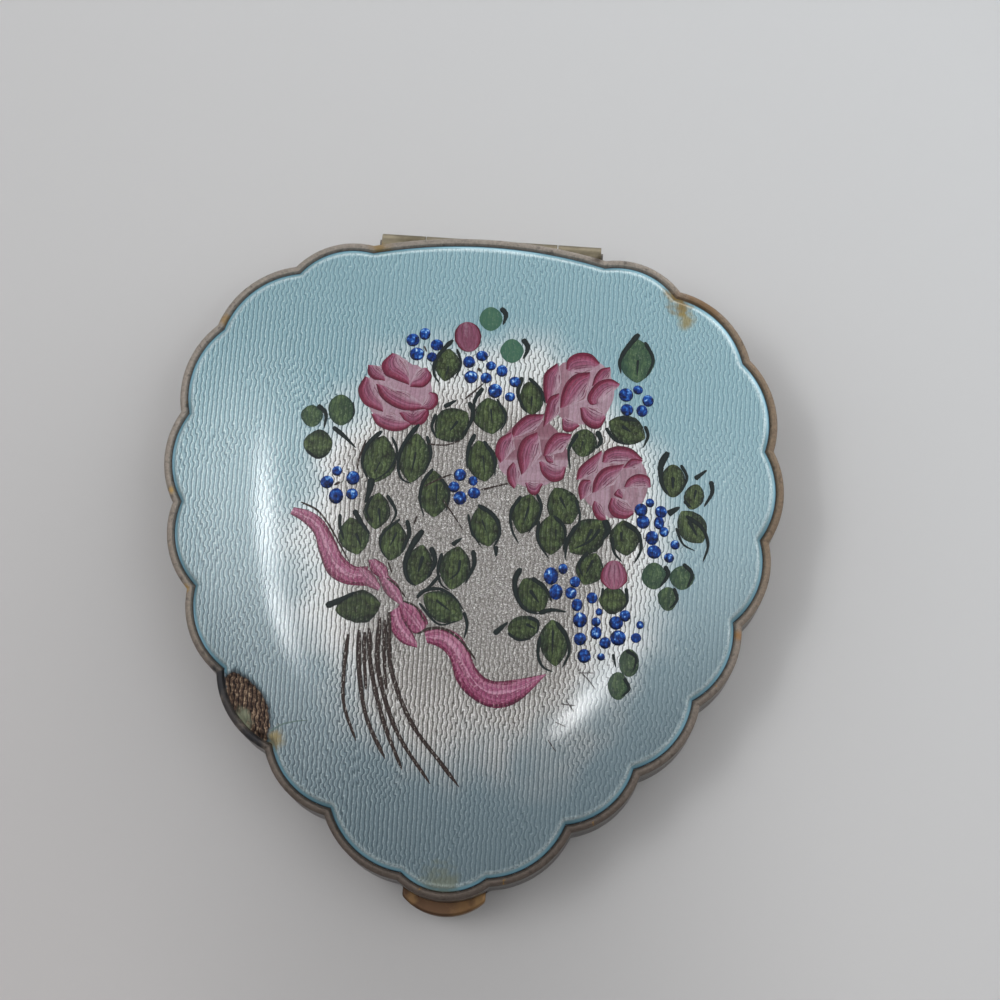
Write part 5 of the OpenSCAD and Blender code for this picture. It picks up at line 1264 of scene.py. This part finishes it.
def make_puff():
    """The puff in rings: out from the crown to the gathered seam, then round under it to the flat base."""
    spokes, rings, low_rings = 156, 40, 12
    points, faces = [], []
    seam_z = SIFTER_Z + PUFF_T * SEAM_SHARE
    for j in range(1, rings + 1):
        share = math.sin(0.5 * math.pi * j / rings)
        for k in range(spokes):
            turn = math.tau * k / spokes
            r = puff_r * share * (1 - 0.006 * (1 + math.sin(GATHERS * turn)) * (share > 0.9))
            z = seam_z + float(puff_height(puff_r * share, turn))
            points.append((puff_x + r * math.cos(turn), puff_y + r * math.sin(turn), max(z, seam_z)))
    for j in range(1, low_rings + 1):
        a = math.pi / 2 * j / low_rings
        for k in range(spokes):
            turn = math.tau * k / spokes
            r = puff_r - PUFF_T * SEAM_SHARE * (1 - math.cos(a))
            r = r if j < low_rings else r * 0.4
            points.append((puff_x + r * math.cos(turn), puff_y + r * math.sin(turn),
                           seam_z - PUFF_T * SEAM_SHARE * math.sin(a)))
    total = rings + low_rings
    for j in range(total - 1):
        for k in range(spokes):
            a, b = j * spokes + k, j * spokes + (k + 1) % spokes
            faces.append((a, a + spokes, b + spokes, b))
    last = (total - 1) * spokes
    points += [(puff_x, puff_y, SIFTER_Z), (puff_x, puff_y, seam_z + float(puff_height(0.0, 0.0)))]
    faces += [(last + (k + 1) % spokes, last + k, len(points) - 2) for k in range(spokes)]
    faces += [(k, (k + 1) % spokes, len(points) - 1) for k in range(spokes)]
    return new_mesh("velour_puff", np.array(points) * MM, faces)


def make_band():
    """The satin band: it lies over the crown from side to side, following it, and is 0.22 mm thick."""
    half_l, count, rows = puff_r - PUFF_T / 2 - 0.2, 70, 13
    points, faces = [], []
    for side in (1, 0):
        for i in range(count):
            x = -half_l + 2 * half_l * i / (count - 1)
            for j in range(rows):
                y = BAND_HALF_W * (2 * j / (rows - 1) - 1)
                r = math.hypot(x, y)
                z = SIFTER_Z + PUFF_T * SEAM_SHARE + float(puff_height(r, 0.0)) + BAND_OFF + BAND_T * side
                points.append((puff_x + x, puff_y + y, z))
    for i in range(count - 1):
        for j in range(rows - 1):
            a = i * rows + j
            faces.append((a, a + rows, a + rows + 1, a + 1))
            b = a + count * rows
            faces.append((b, b + 1, b + rows + 1, b + rows))
    low = count * rows
    for i in range(count - 1):
        for j, flip in ((0, True), (rows - 1, False)):
            a, b = i * rows + j, (i + 1) * rows + j
            faces.append((a, a + low, b + low, b) if flip else (a, b, b + low, a + low))
    for j in range(rows - 1):
        for i, flip in ((0, False), (count - 1, True)):
            a, b = i * rows + j, i * rows + j + 1
            faces.append((a, a + low, b + low, b) if flip else (a, b, b + low, a + low))
    return new_mesh("satin_band", np.array(points) * MM, faces)


puff = make_puff()
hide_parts("powder_puff")
finish_piece(puff, velour(), "base")
band = make_band()
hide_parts("puff_ribbon")
finish_piece(band, satin(), "base")

thumb = make_thumb()
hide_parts("thumb_piece")
# Brass browned by handling, smooth, with paler spots on its front edge
lip_brass = worn_metal("brass_aged_brown", "#6a5240", "#4b392e", "#7d6148", 0.5, 0.40, 200.0,
                       marks=[((462, 908), 1.5, "#8a6b4b", 0.7), ((480, 899), 1.3, "#a5845c", 0.75),
                              ((409, 896), 0.8, "#9a7a55", 0.6)])
finish_piece(thumb, lip_brass, "catch")

# Finishes of the pieces that keep their CAD shape. Gilt brass: a warm satin yellow with brushed lines. Aged brass:
# dull and greyed, with a golden crust at one end. Drawn steel wire: grey and dull. Tinned wire: pale grey.
pewter = worn_plating()
gilt = worn_metal("gilt_brass_satin", "#c9a664", "#a3824a", "#8a6a3a", 0.30, 0.28, 160.0, 1.2)
aged = worn_metal("brass_aged", "#8f8672", "#665e4c", "#a09270", 0.48, 0.40, 300.0,
                  marks=[((378, 247), 1.9, "#a98544", 0.95), ((598, 256), 1.2, "#2d241b", 0.9)])
steel = worn_metal("steel_wire_drawn", "#77736c", "#4a4743", "#8c877d", 0.32, 0.30, 300.0)
gauze = worn_metal("tinned_wire_gauze", "#b9b6ae", "#8f8c85", "#c9c6be", 0.35, 0.30, 400.0)
FINISH = {
    pewter: ["base_shell", "lid_shell"],
    gilt: ["inner_tray", "powder_pan", "sifter_ring", "catch_guide", "catch_hook", "mirror_frame", "lid_keeper"],
    aged: ["base_hinge_leaf", "lid_hinge_leaf"],
    steel: ["hinge_pin", "catch_spring"],
    gauze: ["sifter_gauze"],
    engine_turned_plate(): ["guilloche_plaque"],
    silvered_mirror(): ["mirror_glass"],
    grey_board(): ["backing_card"]}
for material, names in FINISH.items():
    for name in names:
        mesh = nodes[name].data
        if mesh.materials:
            for i in range(len(mesh.materials)):
                mesh.materials[i] = material
        else:
            mesh.materials.append(material)


def pale_board():
    """Matt painted board: pale grey, with painted shade toward the near left and a soft painted shadow before the
    case, and the faintest unevenness."""
    material, tree = start_material("painted_board_matt")
    place = add(tree, "ShaderNodeTexCoord").outputs["Object"]
    cloud = add(tree, "ShaderNodeTexNoise", {"Vector": place, "Scale": 14.0, "Detail": 2.0})
    # painted shade: the board's colour darkens toward the near left
    along = add(tree, "ShaderNodeVectorMath", {0: place, 1: (4.3, 5.4, 0)}, operation="DOT_PRODUCT").outputs["Value"]
    along = add(tree, "ShaderNodeMath", {0: cloud.outputs["Fac"], 1: 0.08, 2: along}, operation="MULTIPLY_ADD")
    tint = ramp(add(tree, "ShaderNodeValToRGB", {"Fac": add(tree, "ShaderNodeMath", {0: along, 1: 0.46})}),
                [(0.0, "#c3bebc"), (0.5, "#d0cecd"), (1.0, "#dedede")])
    # a soft painted shadow on the board before the case
    off = add(tree, "ShaderNodeVectorMath", {0: place, 1: (0.006, -0.046, 0)}, operation="DISTANCE")
    painted_shadow = add(tree, "ShaderNodeMapRange", {"Value": off.outputs["Value"], "From Min": 0.0, "From Max": 0.042,
                                              "To Min": 0.82, "To Max": 1.0}, interpolation_type="SMOOTHSTEP")
    tint = add(tree, "ShaderNodeVectorMath", {0: tint.outputs["Color"], "Scale": painted_shadow}, operation="SCALE")
    end_material(tree, add(tree, "ShaderNodeBsdfPrincipled", {"Base Color": tint, "Roughness": 0.7}))
    return material


floor = new_mesh("floor", [(-2, -2, 0), (2, -2, 0), (2, 2, 0), (-2, 2, 0)], [(0, 1, 2, 3)], smooth=False)
floor.data.materials.append(pale_board())


def soft_room():
    """A plain room: grey walls, darker on the side toward the feet, and the soft windows overhead."""
    world = bpy.data.worlds.new("room")
    bpy.context.scene.world = world
    world.use_nodes = True
    tree = world.node_tree
    tree.nodes.clear()
    whole_way = add(tree, "ShaderNodeTexCoord").outputs["Generated"]
    way = add(tree, "ShaderNodeSeparateXYZ", {0: whole_way}).outputs
    rise = add(tree, "ShaderNodeMath", {0: way["Z"], 1: 0.05}, operation="MAXIMUM")
    a = add(tree, "ShaderNodeMath", {0: way["X"], 1: rise}, operation="DIVIDE")
    b = add(tree, "ShaderNodeMath", {0: way["Y"], 1: rise}, operation="DIVIDE")
    walls = add(tree, "ShaderNodeMapRange", {"Value": way["Y"], "From Min": -0.50, "From Max": 0.12,
                                             "To Min": WALL_DARK, "To Max": WALL_LIGHT},
                interpolation_type="SMOOTHSTEP")
    far = add(tree, "ShaderNodeMapRange", {"Value": way["Y"], "From Min": 0.12, "From Max": 0.7,
                                           "To Min": 1.0, "To Max": 0.5}, interpolation_type="SMOOTHSTEP")
    walls = add(tree, "ShaderNodeMath", {0: walls, 1: far}, operation="MULTIPLY")
    low = add(tree, "ShaderNodeVectorMath", {0: whole_way, 1: (0.5, 0.87, -1.0)}, operation="DOT_PRODUCT")
    low = add(tree, "ShaderNodeMapRange", {"Value": low.outputs["Value"], "From Min": 0.25, "From Max": 0.85,
                                           "To Min": 0.0, "To Max": FAR_WALL}, interpolation_type="SMOOTHSTEP")
    walls = add(tree, "ShaderNodeMath", {0: walls, 1: low}, operation="ADD")
    above = add(tree, "ShaderNodeMath", {0: way["Z"], 1: 0.0}, operation="GREATER_THAN")

    def window(level, middle, reach, turn=0.0):
        """A soft-edged oval of light, its middle and reach given as slopes from straight up."""
        at = add(tree, "ShaderNodeCombineXYZ", {"X": a, "Y": b})
        at = add(tree, "ShaderNodeVectorMath", {0: at, 1: (middle[0], middle[1], 0)}, operation="SUBTRACT")
        at = add(tree, "ShaderNodeVectorRotate", {"Vector": at, "Angle": turn}, rotation_type="Z_AXIS")
        at = add(tree, "ShaderNodeVectorMath", {0: at, 1: (1 / reach[0], 1 / reach[1], 0)}, operation="MULTIPLY")
        off = add(tree, "ShaderNodeVectorMath", {0: at}, operation="LENGTH").outputs["Value"]
        glow = add(tree, "ShaderNodeMapRange", {"Value": off, "From Min": 0.0, "From Max": 1.0,
                                                "To Min": level, "To Max": 0.0}, interpolation_type="SMOOTHERSTEP")
        return add(tree, "ShaderNodeMath", {0: glow, 1: above}, operation="MULTIPLY")

    total = walls
    for level, middle, reach, turn in WINDOWS:
        total = add(tree, "ShaderNodeMath", {0: total, 1: window(level, middle, reach, turn)}, operation="ADD")
    add(tree, "ShaderNodeOutputWorld",
        {"Surface": add(tree, "ShaderNodeBackground", {"Color": colour("#fbfdff"), "Strength": total})})


WALL_DARK, WALL_LIGHT, FAR_WALL = 0.20, 0.86, 3.2
# Windows: strength, middle, reach and turn. The first two draw the streak at the left of the lid, the next two
# fill from the sides, and the last two give the small glint at its lower right.
WINDOWS = [(14.0, (-0.556, 0.12), (0.05, 0.34), -0.06), (10.0, (-0.538, -0.10), (0.035, 0.12), -0.2),
           (3.4, (-0.66, 0.12), (0.5, 0.66), 0.0), (1.3, (0.62, 0.08), (0.5, 0.5), 0.0),
           (10.5, (0.352, -0.172), (0.10, 0.05), -0.43), (4.5, (0.40, -0.14), (0.10, 0.10), 0.0)]
soft_room()

bpy.context.scene.view_settings.view_transform = "Standard"
